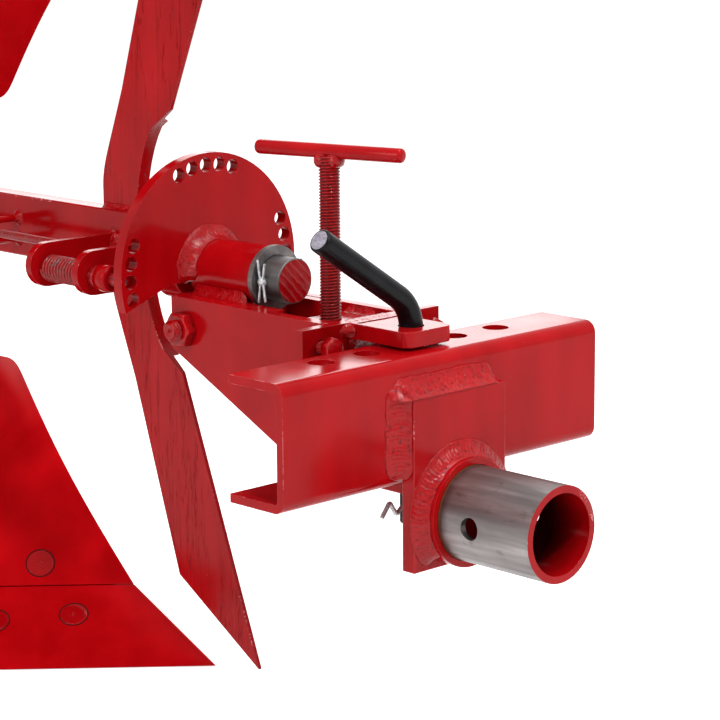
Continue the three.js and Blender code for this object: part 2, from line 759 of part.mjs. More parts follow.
// ================================================================ knives
function knife(up) {
  const rear = discBack - knifeSetback - (up ? knifeStagger : 0);
  const longer = up ? upperShankLonger : 0;
  const sign = up ? 1 : -1;
  const root = seat + (up ? beamTop - shaftHeight : shaftHeight - beamBottom);
  const lean = Math.tan(knifeLean * degrees);
  const shoulder = rear + knifeShoulderForward;
  const heel = shoulder + (knifeHeel - knifeShoulder - longer) * lean;
  const turned = knifeShoulderForward * (knifeTurned - knifeCorner) / (knifeShoulder - knifeCorner);
  const shape = new THREE.Shape();
  const height = (reach) => shaftHeight + sign * reach;
  shape.moveTo(rear + knifeShank, height(root));
  shape.lineTo(rear, height(root));
  shape.lineTo(rear, height(knifeStraight + longer));
  shape.quadraticCurveTo(
    rear, height(knifeCorner + longer), rear + turned, height(knifeTurned + longer));
  shape.lineTo(shoulder, height(knifeShoulder + longer));
  shape.lineTo(heel, height(knifeHeel));
  shape.lineTo(rear + knifeToeForward, height(knifeReach));
  shape.lineTo(rear + knifeFlareOuter, height(knifeFlareEnd + longer));
  shape.lineTo(rear + knifeFlareInner, height(knifeFlareStart + longer));
  shape.quadraticCurveTo(
    rear + knifeShank + 4, height(knifeTurned + longer), rear + knifeShank, height(root + 1));
  const blank = spreadY(shape, -knifeThick / 2, knifeThick / 2);

  // The land side of the blade is ground from mid-width to a thin front edge.
  const slope = (knifeThick - knifeEdge) / knifeGrind;
  const land = knifeThick / 2;
  const edgeX = rear + knifeFlareOuter;
  const start = knifeFlareEnd + longer;
  const edgeLean = Math.atan2(rear + knifeToeForward - edgeX, knifeReach - start);
  const over = 20;
  const wedge = outline([
    [-knifeGrind - over, land + over * slope], [over, knifeEdge - land - over * slope],
    [over, 2 * knifeThick], [-knifeGrind - over, 2 * knifeThick],
  ]);
  const cutter = extrude(wedge, knifeReach + 2 * over)
    .translate(0, 0, knifeFlareStart - knifeFlareEnd)
    .rotateY(edgeLean)
    .translate(edgeX, 0, start);
  if (!up) cutter.scale(1, 1, -1);
  cutter.translate(0, 0, shaftHeight);
  return blank.subtract(toSolid(up ? cutter : flipped(cutter)));
}

// Turns the triangles of a mirrored geometry so that they face outwards again.
function flipped(geometry) {
  const bare = geometry.index ? geometry.toNonIndexed() : geometry;
  const { array } = bare.attributes.position;
  for (let i = 0; i < array.length; i += 9) {
    for (let k = 0; k < 3; k += 1) {
      const held = array[i + 3 + k];
      array[i + 3 + k] = array[i + 6 + k];
      array[i + 6 + k] = held;
    }
  }
  return bare;
}

piece('knife_upper', knife(true), redPaint);
piece('knife_lower', knife(false), redPaint);

// ================================================================ plough bodies
// The working side is ruled by level lines. A line starts on the shin, in the land-side plane, and
// runs back and away from it. height is above the ground for the lower body.
const creaseX = -shareTipSetback - shareRun;

function shinX(height) {
  if (height < shareRise) return -shareTipSetback - shareRun * height / shareRise;
  const part = (height - shareRise) / (boardTop - shareRise);
  return creaseX - boardRun * part + boardCurl * Math.sin(Math.PI * Math.min(part, 1.4)) * -1;
}

function lineAngle(height) {
  const part = Math.max(0, (height - shareRise) / (boardTop - shareRise));
  return (shareAngle + boardTwist * part) * degrees;
}

function surfacePoint(height, along) {
  const angle = lineAngle(height);
  return point(shinX(height) - along * Math.cos(angle), shinOffset - along * Math.sin(angle), height);
}

// Unit normal of the working side, pointing forwards and up.
function surfaceNormal(height, along) {
  const step = 0.5;
  const low = height < shareRise ? height : height + step;
  const a = surfacePoint(low - step / 2, along);
  const b = surfacePoint(low + step / 2, along);
  const rise = b.sub(a);
  const angle = lineAngle(height);
  const line = point(-Math.cos(angle), -Math.sin(angle), 0);
  return line.cross(rise).normalize().negate();
}

// A plate between two parallel copies of the working side. place(u, v) gives {height, along} for u
// along the plate and v up it, front and back are distances behind the working side.
function plateOn(place, front, back, columns, rows, up) {
  const grid = (depth) => (u, v) => {
    const { height, along } = place(u, v);
    const base = surfacePoint(height, along);
    const normal = surfaceNormal(height, along);
    return base.addScaledVector(normal, -depth(u, v));
  };
  const faces = [grid(front), grid(back)];
  const positions = [];
  faces.forEach((face) => {
    for (let j = 0; j <= rows; j += 1) {
      for (let i = 0; i <= columns; i += 1) {
        const p = face(i / columns, j / rows);
        positions.push(p.x, p.y, up ? 2 * shaftHeight - p.z : p.z);
      }
    }
  });
  const width = columns + 1;
  const count = width * (rows + 1);
  const index = [];
  const quad = (a, b, c, d) => (up ? index.push(a, c, b, a, d, c) : index.push(a, b, c, a, c, d));
  for (let j = 0; j < rows; j += 1) {
    for (let i = 0; i < columns; i += 1) {
      const a = j * width + i;
      quad(a, a + width, a + width + 1, a + 1);
      quad(count + a, count + a + 1, count + a + width + 1, count + a + width);
    }
  }
  for (let i = 0; i < columns; i += 1) {
    const top = rows * width + i;
    quad(i, i + 1, count + i + 1, count + i);
    quad(top + 1, top, count + top, count + top + 1);
  }
  for (let j = 0; j < rows; j += 1) {
    const left = j * width;
    const right = left + columns;
    quad(left + width, left, count + left, count + left + width);
    quad(right, right + width, count + right + width, count + right);
  }
  return new wasm.Manifold(new wasm.Mesh({
    numProp: 3,
    vertProperties: new Float32Array(positions),
    triVerts: new Uint32Array(index),
  }));
}

function boardPlace(u, v) {
  const length = shareTopLength + (boardLength - shareTopLength) * Math.pow(v, 0.8);
  const beyond = Math.max(0, u - cornerColumns) / (1 - cornerColumns);
  const along = boardCorner * Math.min(1, u / cornerColumns) + (length - boardCorner) * beyond;
  const corner = Math.min(1, along / boardCorner);
  const fillet = boardCorner * (1 - Math.sqrt(1 - (1 - corner) * (1 - corner)));
  const crest = boardCrest * Math.sin(Math.min(1, along / boardLength) * 0.62 * Math.PI);
  const tail = 26 * Math.pow(u, 6);
  const top = boardTop + crest - fillet - tail;
  return { height: shareRise + seat + v * (top - shareRise - seat), along };
}

function sharePlace(u, v) {
  const length = shareEdgeLength + (shareTopLength - shareEdgeLength) * v;
  return { height: shareEdge + v * (shareRise - seat - shareEdge), along: u * length };
}

function shareBack(u, v) {
  const rise = Math.atan2(shareRise, shareRun * Math.sin(shareAngle * degrees));
  return Math.min(shareThick, shareEdge + v * shareRise / Math.cos(rise));
}

function frogPlace(u, v) {
  return { height: 20 + v * 105, along: 16 + u * frogLength };
}

const constant = (value) => () => value;

function upTurned(solid, up) {
  return up ? toSolid(flipped(toGeometry(solid).scale(1, 1, -1).translate(0, 0, 2 * shaftHeight))) : solid;
}

function legPlate(up) {
  const top = (up ? 2 * shaftHeight - beamTop : beamBottom) - seat;
  const rear = -legFront - legWidth;
  const shape = outline([
    [-legFront, top], [rear, top], [rear, landsideHeight + 30], [rear, 6],
    [-landsideNose - 20, 6], [-landsideNose + 10, 14], [-landsideNose - 10, 70], [-legFront + 12, 200],
    [-legFront, 215],
  ]);
  const y1 = shinOffset - landsideThick - 2 * seat;
  const blank = spreadY(shape, y1 - legThick, y1);
  const wide = (u, v) => ({ height: 1 + v * (boardTop + 30), along: -30 + u * 200 });
  const room = plateOn(wide, constant(-120), constant(shareThick + frogThick + 2 * seat), 12, 24, false);
  return blank.subtract(room);
}

function landside() {
  const y1 = shinOffset;
  const shape = outline([
    [-landsideNose, 0], [-landsideNose - 34, landsideHeight],
    [-landsideNose - landsideLength, landsideHeight], [-landsideNose - landsideLength, 0],
  ]);
  const blank = spreadY(shape, y1 - landsideThick, y1);
  const wide = (u, v) => ({ height: 0.2 + v * (boardTop + 20), along: -40 + u * 200 });
  return blank.subtract(plateOn(wide, constant(-60), constant(shareThick + seat), 12, 24, false));
}

// The brace is cut off flush at the leg and at the back of the board.
function brace() {
  const legSide = shinOffset - landsideThick - 2 * seat - legThick - seat;
  const start = point(-legFront - legWidth * 0.7, legSide + braceDiameter, braceRootHeight);
  const target = surfacePoint(braceHeadHeight, braceHeadAlong);
  const sides = 14;
  const section = outline(Array.from({ length: sides }, (_, i) => [
    braceDiameter / 2 * Math.cos(i * 2 * Math.PI / sides),
    braceDiameter / 2 * Math.sin(i * 2 * Math.PI / sides),
  ]));
  const extrudePath = new THREE.LineCurve3(start, target);
  const rod = toSolid(new THREE.ExtrudeGeometry(section, { steps: 1, bevelEnabled: false, extrudePath }));
  const legRoom = spreadY(rectangle(-1000, 0, 0, shaftHeight), legSide, legSide + 100);
  return rod.subtract(legRoom).subtract(roomBehind(boardThick + seat));
}

// Everything from well in front of the working side to the given depth behind it.
function roomBehind(depth) {
  const place = (u, v) => ({ height: 0.2 + v * (boardTop + 30), along: -40 + u * (boardLength + 20) });
  return plateOn(place, constant(-60), constant(depth), 16, 24, false);
}

function frog() {
  const front = boardThick + seat;
  const blank = plateOn(frogPlace, constant(front), constant(front + frogThick), 8, 12, false);
  const place = (u, v) => ({ height: v * (shareRise + 4), along: -10 + u * shareEdgeLength });
  return blank.subtract(plateOn(place, constant(-20), constant(shareThick + seat), 8, 10, false));
}

[true, false].forEach((up) => {
  const suffix = up ? 'upper' : 'lower';
  piece(`leg_${suffix}`, upTurned(legPlate(up), up), redPaint);
  piece(`landside_${suffix}`, upTurned(landside(), up), redPaint);
  piece(`mouldboard_${suffix}`, plateOn(boardPlace, constant(0), constant(boardThick), 16, 12, up), redPaint);
  piece(`share_${suffix}`, plateOn(sharePlace, constant(0), shareBack, 10, 6, up), redPaint);
  piece(`frog_${suffix}`, upTurned(frog(), up), redPaint);
  piece(`brace_${suffix}`, upTurned(brace(), up), redPaint);
});

// ================================================================ origin: middle of the footprint
const box = new THREE.Box3().setFromObject(plough);
plough.position.set(-(box.min.x + box.max.x) / 2, -(box.min.y + box.max.y) / 2, -box.min.z);

export default plough;
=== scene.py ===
"""Finishes and details of a reversible one-furrow plough: paint, welds, threads, springs and bolts.

Metres throughout. +X points to the tractor, +Y to the land side, +Z up, with the ground at Z = 0.
"""

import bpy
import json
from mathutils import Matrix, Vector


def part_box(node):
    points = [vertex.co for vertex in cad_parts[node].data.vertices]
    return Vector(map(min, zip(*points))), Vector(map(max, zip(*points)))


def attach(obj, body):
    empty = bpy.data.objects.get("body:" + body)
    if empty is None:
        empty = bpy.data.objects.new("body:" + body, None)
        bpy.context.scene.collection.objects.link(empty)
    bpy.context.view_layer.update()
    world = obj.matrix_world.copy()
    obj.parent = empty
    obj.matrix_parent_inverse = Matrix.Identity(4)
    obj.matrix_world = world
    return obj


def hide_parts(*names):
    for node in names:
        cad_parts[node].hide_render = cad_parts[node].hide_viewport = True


bl_info = {
    "name": "Reversible Plough Workshop",
    "version": (1, 0, 0),
    "blender": (4, 5, 0),
    "location": "View3D > Sidebar > Plough",
    "description": "Builds the welded, threaded, bolted and painted pieces of a reversible plough",
    "category": "Object",
}

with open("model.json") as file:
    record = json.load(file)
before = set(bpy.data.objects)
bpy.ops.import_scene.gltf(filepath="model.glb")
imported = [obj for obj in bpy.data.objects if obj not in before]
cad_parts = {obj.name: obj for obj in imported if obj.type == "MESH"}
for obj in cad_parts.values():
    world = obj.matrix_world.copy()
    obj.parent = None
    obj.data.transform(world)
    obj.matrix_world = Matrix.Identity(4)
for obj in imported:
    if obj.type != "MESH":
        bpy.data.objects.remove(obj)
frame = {"nodes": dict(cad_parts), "record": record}

import json
import math

import bmesh
import bpy
from mathutils import Matrix, Vector, noise
from mathutils.bvhtree import BVHTree

NODES = frame["nodes"]
MM = 0.001
SEAT = 0.3 * MM          # gap between a nut or head and the face that it stands on
X = Vector((1, 0, 0))
Y = Vector((0, 1, 0))
Z = Vector((0, 0, 1))
UPPER = "upper"
LOWER = "lower"
BODY_OF = {
    node: body
    for body, members in frame["record"]["behaviour"]["bodies"].items()
    for node in members
}
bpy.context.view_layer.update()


def at(x, y, z):
    """A point or a direction."""
    return Vector((x, y, z))


def middle(node):
    """The middle of a CAD node's box."""
    low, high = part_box(node)
    return (low + high) / 2


def pivot(joint):
    """A point on the axis of a joint."""
    for made in frame["record"]["behaviour"]["joints"]:
        if made["name"] == joint:
            return Vector(made["pos_m"])
    raise RuntimeError(f"no joint is called {joint}")


# ---------------------------------------------------------------- settings
def tone(name, about, default):
    """A colour."""
    return bpy.props.FloatVectorProperty(
        name=name, description=about, subtype="COLOR", size=3, min=0, max=1, default=default)


def distance(name, about, default, low, high):
    """A length in metres."""
    return bpy.props.FloatProperty(
        name=name, description=about, subtype="DISTANCE", unit="LENGTH", min=low, max=high,
        default=default)


def bearing(name, about, default):
    """An angle in radians."""
    return bpy.props.FloatProperty(
        name=name, description=about, subtype="ANGLE", unit="ROTATION", default=default)


def number(name, about, default, low, high, subtype="NONE"):
    """A plain number, or a share with the subtype FACTOR."""
    return bpy.props.FloatProperty(
        name=name, description=about, subtype=subtype, min=low, max=high, default=default)


class PaintSettings(bpy.types.PropertyGroup):
    """The red coat and how it has worn."""

    red: tone("Red", "Colour of the coat where it is thick", (0.40, 0.0022, 0.0045))
    deep_red: tone("Deep red", "Colour where the coat has run thick in corners", (0.29, 0.0009, 0.0022))
    chalk: tone("Chalk", "Colour of scuffed and chipped edges", (0.66, 0.22, 0.23))
    peel: number("Orange peel", "Height of the coat's fine ripple, in millimetres", 0.012, 0, 0.1)
    wave: number("Waviness", "Height of the coat's slow waves, in millimetres", 0.16, 0, 1)
    edge: distance("Edge rounding", "Radius left on cut edges under the paint", 0.0009, 0, 0.003)


class MetalSettings(bpy.types.PropertyGroup):
    """The bare metals."""

    steel: tone("Turned steel", "Colour of freshly turned steel", (0.25, 0.232, 0.228))
    stain: tone("Stain", "Colour of oil and heat stains on bare steel", (0.085, 0.06, 0.05))
    black: tone("Black oxide", "Colour of the swing pin", (0.0045, 0.0045, 0.006))
    zinc: tone("Zinc", "Colour of plated wire", (0.66, 0.68, 0.70))


class WeldSettings(bpy.types.PropertyGroup):
    """How the beads were laid."""

    ripple: distance("Ripple spacing", "Distance between two ripples of a bead", 0.0024, 0.001, 0.006)
    height: distance("Ripple height", "How far a ripple stands out", 0.00042, 0, 0.002)
    wander: number(
        "Wander", "How unevenly the bead's toes run, as a share of its size", 0.09, 0, 0.6, "FACTOR")
    step: distance("Mesh step", "Distance between two stations along a bead", 0.00055, 0.0002, 0.002)


class ThreadSettings(bpy.types.PropertyGroup):
    """Screw threads."""

    pitch: distance("Screw pitch", "Pitch of the depth screw and the pivot bolt", 0.002, 0.001, 0.004)
    small_pitch: distance(
        "Small pitch", "Pitch of the stop bolts and the plough bolts", 0.00125, 0.0005, 0.003)
    pivot: distance("Pivot bolt", "Diameter of the pivot bolt", 0.014, 0.006, 0.03)
    depth: number(
        "Thread depth", "Depth of a thread as a share of its pitch", 0.6, 0.2, 0.7, "FACTOR")


class FittingSettings(bpy.types.PropertyGroup):
    """Sizes of the small turned and bent pieces."""

    pin_neck: distance("Pin neck", "Corner of the swing pin above the top tongue", 0.012, 0.005, 0.05)
    pin_bend: distance("Pin bend", "Length of the bend on each side of its corner", 0.015, 0.005, 0.05)
    pin_pitch: bearing("Pin pitch", "How steeply the pin's arm rises", math.radians(33))
    screw: distance("Depth screw", "Diameter of the depth screw", 0.014, 0.005, 0.03)
    bar: distance("Handle bar", "Diameter of the T-handle's bar", 0.0095, 0.005, 0.02)
    bar_yaw: bearing("Handle turn", "Turn of the T-handle from the direction of travel", math.radians(14.6))
    nut: distance("Pivot nut", "Thickness of the pivot bolt's nut", 0.0075, 0.005, 0.02)
    latch: distance("Latch pin", "Diameter of the latch pin", 0.009, 0.004, 0.02)
    collar_gap: distance("Collar gap", "From the front ear to the latch pin's collar", 0.007, 0.001, 0.02)
    spring: distance("Spring wire", "Diameter of the latch spring's wire", 0.0025, 0.001, 0.004)
    pull: distance("Pull rod", "Diameter of the pull rod", 0.006, 0.003, 0.012)
    loop: distance("Hand loop", "Length of the pull rod's hand loop", 0.032, 0.01, 0.08)
    shank: distance("Knife shank", "Width of a knife where it meets the beam", 0.036, 0.01, 0.08)
    leg: distance("Leg weld", "Where the weld between a leg and the beam ends", 0.058, 0.01, 0.08)
    plough_bolt: distance(
        "Plough bolt", "Head diameter of the flush bolts in board and share", 0.0195, 0.01, 0.03)


class StageSettings(bpy.types.PropertyGroup):
    """Camera, lamps and floor."""

    camera_place: bpy.props.FloatVectorProperty(
        name="Camera place", description="Where the camera stands",
        subtype="TRANSLATION", unit="LENGTH", size=3, default=(1.35822, -1.08739, 0.57507))
    camera_aim: bpy.props.FloatVectorProperty(
        name="Camera aim", description="Direction the camera looks in",
        subtype="DIRECTION", size=3, default=(-0.7038, 0.6812, -0.2017))
    camera_roll: bearing("Camera roll", "Turn about the viewing direction", -0.0073)
    lens: number("Lens", "Focal length in millimetres on a 36 mm sensor", 130.97, 20, 300)
    floor: distance("Floor", "Width of the floor", 60, 2, 200)
    ambient: number("Ambient", "Strength of the even light from all round", 0.5, 0, 2)
    lamps: number("Lamps", "Factor on the power of all lamps", 1.0, 0, 10)


class PloughSettings(bpy.types.PropertyGroup):
    """All settings of the plough."""

    paint: bpy.props.PointerProperty(type=PaintSettings)
    metal: bpy.props.PointerProperty(type=MetalSettings)
    weld: bpy.props.PointerProperty(type=WeldSettings)
    thread: bpy.props.PointerProperty(type=ThreadSettings)
    fittings: bpy.props.PointerProperty(type=FittingSettings)
    stage: bpy.props.PointerProperty(type=StageSettings)


def settings():
    """All settings, as the scene holds them."""
    return bpy.context.scene.plough


# ---------------------------------------------------------------- shader maths
class Socket:
    """One output of a shader node. Arithmetic on it adds Math nodes to the same tree."""

    def __init__(self, tree, output=None):
        self.tree = tree
        self.output = output

    def node(self, kind, setup=None, sockets=None, output=0):
        """Adds a node: first its settings, then the values or links of its sockets."""
        made = self.tree.nodes.new(kind)
        for key, value in (setup or {}).items():
            if key == "stops":
                ramp = made.color_ramp.elements
                while len(ramp) < len(value):
                    ramp.new(1)
                for stop, (position, color) in zip(ramp, value):
                    stop.position = position
                    stop.color = color
            else:
                setattr(made, key, value)
        for key, value in (sockets or {}).items():
            if isinstance(value, Socket):
                self.tree.links.new(value.output, made.inputs[key])
            else:
                made.inputs[key].default_value = value
        return Socket(self.tree, made.outputs[output])

    def maths(self, operation, *values):
        return self.node("ShaderNodeMath", {"operation": operation}, dict(enumerate(values)))

    def __add__(self, other):
        return self.maths("ADD", self, other)

    __radd__ = __add__

    def __sub__(self, other):
        return self.maths("SUBTRACT", self, other)

    def __rsub__(self, other):
        return self.maths("SUBTRACT", other, self)

    def __mul__(self, other):
        return self.maths("MULTIPLY", self, other)

    __rmul__ = __mul__

    def __pow__(self, other):
        return self.maths("POWER", self, other)

    def ramp(self, low, high, start=0.0, end=1.0):
        """Runs from start to end while the value runs from low to high, and stays inside them."""
        return self.node(
            "ShaderNodeMapRange", {"clamp": True},
            {"Value": self, "From Min": low, "From Max": high, "To Min": start, "To Max": end})

    def tint(self, low, high):
        """A colour between two colours, with this value as the share of the second."""
        return self.node(
            "ShaderNodeMix", {"data_type": "RGBA", "clamp_factor": True},
            {0: self, 6: colour(low), 7: colour(high)}, 2)

    def part(self, index):
        """One of the three numbers of a vector."""
        return self.node("ShaderNodeSeparateXYZ", {}, {"Vector": self}, index)

    def noise(self, scale, detail=2.0, stretch=(1, 1, 1), roughness=0.5):
        """Cloudy noise over this position, scale in cells to the metre."""
        place = self.node(
            "ShaderNodeVectorMath", {"operation": "MULTIPLY"}, {0: self, 1: stretch})
        return self.node(
            "ShaderNodeTexNoise", {"noise_dimensions": "3D"},
            {"Vector": place, "Scale": scale, "Detail": detail, "Roughness": roughness})


def colour(value):
    """Colours are given as three numbers, or as a socket already."""
    return value if isinstance(value, Socket) else (*value, 1.0)


def shaded(value, share):
    """A colour made darker, or lighter where the share is over one."""
    return tuple(c * share for c in value)


def background_rays(bench):
    """One for camera, glossy and transmission rays, and nought for all others."""
    kinds = ("Is Camera Ray", "Is Glossy Ray", "Is Transmission Ray")
    rays = [bench.node("ShaderNodeLightPath", output=kind) for kind in kinds]
    return rays[0] + rays[1] + rays[2]


class Finish:
    """A material with one Principled shader, made once and found again by its name."""

    def __init__(self, name, **plain):
        self.material = bpy.data.materials.new(name)
        self.material.use_nodes = True
        tree = self.material.node_tree
        self.shader = tree.nodes["Principled BSDF"]
        self.bench = Socket(tree)
        self.place = self.bench.node("ShaderNodeTexCoord", output=3)
        for key, value in plain.items():
            self.shader.inputs[key.replace("_", " ").title().replace("Ior", "IOR")].default_value = value

    def dress(self, body, rough, height):
        """Gives the surface its colour, its roughness and its height in millimetres."""
        normal = self.bench.node(
            "ShaderNodeBump", {}, {"Strength": 1.0, "Distance": MM, "Height": height})
        for key, value in (("Base Color", body), ("Roughness", rough), ("Normal", normal)):
            self.bench.tree.links.new(value.output, self.shader.inputs[key])
        return self.material


def red_coat(name, wear=0.0, lumps=0.0, grain=None, grain_height=0.0, saw=False, gloss=0.0,
             shade=None, glow=1.0):
    """Gloss red enamel. wear chips it to chalk, lumps is the height of spatter under it in
    millimetres and darkens its pits as painted shade, grain stretches a grinding pattern under
    it along one axis, shade gives how much painted shade darkens a place, from none to all,
    and glow makes the red lighter as painted light, a lit copy of the same red."""
    paint = settings().paint
    made = Finish(name, roughness=0.15, specular_ior_level=0.12 + gloss)
    place = made.place
    dark = shaded(paint.deep_red, 0.42)
    cloud = place.noise(14, 3)
    runs = place.noise(46, 3, (1, 1, 0.16))
    thick = (cloud * 0.55 + runs * 0.45).ramp(0.36, 0.64)
    # glow over one gives a lighter copy of the red, as painted light
    body = thick.tint(shaded(paint.deep_red, glow), shaded(paint.red, glow))
    height = place.noise(430, 2) * paint.peel + cloud * paint.wave + runs * 0.07
    rough = 0.08 + 0.16 * place.noise(30, 4)
    dust = place.noise(620, 2).ramp(0.77, 0.82, 0, 0.4)
    body = dust.tint(body, paint.chalk)
    if lumps:
        pits = place.noise(480, 4, roughness=0.6)
        height = height + pits * lumps
        # painted shade: the spatter's pits darken with their depth; the raised pebbles turn towards chalk
        body = pits.ramp(0.46, 0.34, 0, 0.9).tint(body, dark)
        body = pits.ramp(0.74, 0.84, 0, 0.35).tint(body, paint.chalk)
        rough = rough * 0.6
    if grain:
        scratch = place.noise(1, 4, tuple(380 if s else 14 for s in grain), 0.6)
        cracks = place.noise(1, 3, tuple(120 if s else 9 for s in grain), 0.65)
        height = height + scratch * grain_height + cracks.ramp(0.485, 0.5, 0, 0.14)
        body = scratch.ramp(0.42, 0.34, 0, 0.35).tint(body, dark)
        line = cracks.ramp(0.478, 0.490) * cracks.ramp(0.502, 0.490)
        body = (line * 0.5).tint(body, shaded(paint.deep_red, 0.2))
    if saw:
        stripes = made.bench.node(
            "ShaderNodeTexWave", {"wave_type": "BANDS", "bands_direction": "DIAGONAL"},
            {"Vector": place, "Scale": 95, "Distortion": 2.4, "Detail": 3, "Detail Scale": 2})
        height = height + stripes * 0.08
        body = stripes.ramp(0.6, 1.0, 0, 0.16).tint(body, paint.chalk)
    if wear:
        chips = place.noise(520, 4, roughness=0.65)
        scuffs = place.noise(70, 3)
        bare = (chips * 0.5 + scuffs * 0.5).ramp(0.63 - 0.08 * wear, 0.66 - 0.08 * wear)
        body = (bare * 0.75).tint(body, paint.chalk)
        rough = rough + bare * 0.25
        height = height - bare * 0.05
    if shade:
        # painted shade: the mask darkens the red towards near black
        body = shade(place).tint(body, (0.012, 0.0006, 0.0008))
    return made.dress(body, rough, height)


def painted_shade_down_the_tube(place):
    """Painted shade: dark deep inside the coupling tube, and red again at its mouth."""
    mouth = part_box("coupling_tube")[1].x
    return (place.part(0) + place.noise(60, 3) * 6 * MM).ramp(mouth - 1 * MM, mouth - 26 * MM, 0, 0.93)


def painted_root_shade(place):
    """Painted shade in the thread's roots, and darker towards the bottom, near the frame."""
    axis = middle("screw_block")
    radius = settings().fittings.screw / 2
    east = place.part(0) - axis.x
    north = place.part(1) - axis.y
    out = (east * east + north * north) ** 0.5
    # painted shade in the roots of the thread
    roots = out.ramp(radius - 0.1 * MM, radius - 0.9 * MM, 0, 0.62)
    # darker towards the bottom, near the frame
    low = (place.part(2) + place.noise(90, 3) * 30 * MM).ramp(axis.z + 75 * MM, axis.z + 8 * MM, 0, 0.45)
    return roots + low * (1 - roots)


def bare_steel(name, darker=1.0, smear=None):
    """Turned steel with soft streaks along X and old stains; smear is the X where soot ends."""
    metal = settings().metal
    made = Finish(name, metallic=1.0, roughness=0.35, specular_ior_level=0.5)
    place = made.place
    steel = shaded(metal.steel, darker)
    streaks = place.noise(1, 3, (16, 210, 210), 0.55)
    rings = place.noise(1, 3, (1500, 30, 30))
    cloud = place.noise(30, 4, (0.6, 1, 1))
    spots = place.noise(150, 4, (0.6, 1, 1))
    body = streaks.ramp(0.32, 0.68).tint(shaded(steel, 0.8), shaded(steel, 1.3))
    body = cloud.ramp(0.48, 0.70, 0, 0.6).tint(body, shaded(steel, 0.5))
    body = spots.ramp(0.62, 0.76, 0, 0.5).tint(body, metal.stain)
    bands = place.noise(1, 2, (9, 95, 95), 0.5)
    body = bands.ramp(0.44, 0.62, 0, 0.5).tint(body, shaded(steel, 0.42))
    if smear is not None:
        along = place.part(0)
        edge = along + place.noise(90, 4) * 0.008
        body = (edge.ramp(smear + 12 * MM, smear + 2 * MM) * 0.85).tint(
            body, shaded(metal.stain, 0.45))
        rust = along.ramp(smear - 0.6 * MM, smear) * along.ramp(smear + 1.6 * MM, smear + 0.9 * MM)
        body = (rust * 0.7).tint(body, (0.42, 0.27, 0.08))
    return made.dress(body, 0.26 + 0.3 * cloud + 0.08 * streaks, rings * 0.008 + cloud * 0.06)


def black_oxide(name):
    """Satin black heat-treated steel."""
    metal = settings().metal
    made = Finish(name, roughness=0.3, specular_ior_level=0.13)
    place = made.place
    cloud = place.noise(60, 4)
    scuffs = place.noise(420, 4, roughness=0.6)
    body = cloud.ramp(0.4, 0.7).tint(shaded(metal.black, 0.5), shaded(metal.black, 1.2))
    body = scuffs.ramp(0.68, 0.78, 0, 0.35).tint(body, (0.04, 0.04, 0.045))
    return made.dress(body, 0.17 + 0.16 * cloud, place.noise(240, 3) * 0.03 + cloud * 0.1)


def sawn_end(name):
    """The pale sawn face at the end of the pin."""
    made = Finish(name, metallic=0.0, roughness=0.5, specular_ior_level=0.4)
    place = made.place
    lines = place.noise(1, 3, (300, 300, 1500))
    cloud = place.noise(200, 3)
    body = lines.ramp(0.3, 0.7).tint((0.16, 0.14, 0.18), (0.40, 0.37, 0.44))
    return made.dress(
        cloud.ramp(0.5, 0.7, 0, 0.6).tint(body, (0.10, 0.09, 0.11)),
        0.35 + 0.25 * lines, lines * 0.05)


def zinc_plate(name):
    """Bright zinc-plated wire."""
    metal = settings().metal
    made = Finish(name, metallic=0.35, roughness=0.3)
    place = made.place
    bloom = place.noise(420, 3)
    return made.dress(
        bloom.ramp(0.35, 0.7).tint(shaded(metal.zinc, 0.55), metal.zinc),
        0.18 + 0.25 * bloom, bloom * 0.01)


def worn_coat(name):
    """Red paint worn through to grey steel and dirt, on wires and pins that rub."""
    paint = settings().paint
    made = Finish(name, roughness=0.3, specular_ior_level=0.4)
    place = made.place
    patch = place.noise(130, 3)
    grit = place.noise(800, 3)
    rubbed = (patch * 0.6 + grit * 0.4).ramp(0.56, 0.63, 0, 0.85)
    body = grit.ramp(0.3, 0.7).tint(shaded(paint.deep_red, 0.3), paint.red)
    body = rubbed.tint(body, grit.tint((0.035, 0.025, 0.022), (0.15, 0.13, 0.12)))
    return made.dress(body, 0.2 + 0.3 * grit, grit * 0.12)


def dark_gap(name):
    """Dirt and painted shade in a groove, or round a bolt head."""
    made = Finish(name, roughness=0.7, specular_ior_level=0.1)
    grit = made.place.noise(900, 3)
    return made.dress(
        grit.tint((0.012, 0.001, 0.001), (0.05, 0.002, 0.003)),
        0.5 + 0.3 * grit, grit * 0.05)


RECIPES = {
    "red_enamel": red_coat,
    # painted light: board and share take a lighter copy of the red
    "red_board": lambda name: red_coat(name, gloss=-0.11, glow=1.22),
    "red_edge": lambda name: red_coat(name, wear=0.5, gloss=0.12),
    "red_chipped": lambda name: red_coat(name, wear=1.25, gloss=0.12),
    "red_weld": lambda name: red_coat(name, lumps=0.22, gloss=0.1),
    "red_thread": lambda name: red_coat(name, lumps=0.08, gloss=0.1),
    # painted shade in the depth screw's thread roots
    "red_screw": lambda name: red_coat(name, lumps=0.08, gloss=0.1, shade=painted_root_shade),
    # painted shade deep inside the coupling tube's bore
    "red_bore": lambda name: red_coat(name, shade=painted_shade_down_the_tube),
    # painted light: the knives take a lighter copy of the red
    "red_ground": lambda name: red_coat(name, grain=(1, 1, 0), grain_height=0.07, glow=1.12),
    "red_sawn": lambda name: red_coat(name, saw=True),
    "tube_steel": lambda name: bare_steel(name, 1.0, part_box("coupling_collar")[1].x),
    "shaft_steel": lambda name: bare_steel(name, 0.62),
    "washer_steel": lambda name: bare_steel(name, 0.85),
    "black_oxide": black_oxide,
    "sawn_end": sawn_end,
    "zinc_plate": zinc_plate,
    "worn_coat": worn_coat,
    "dark_gap": dark_gap,
}


def finish(name):
    """The named material, mixed the first time that it is asked for."""
    return bpy.data.materials.get(name) or RECIPES[name](name)


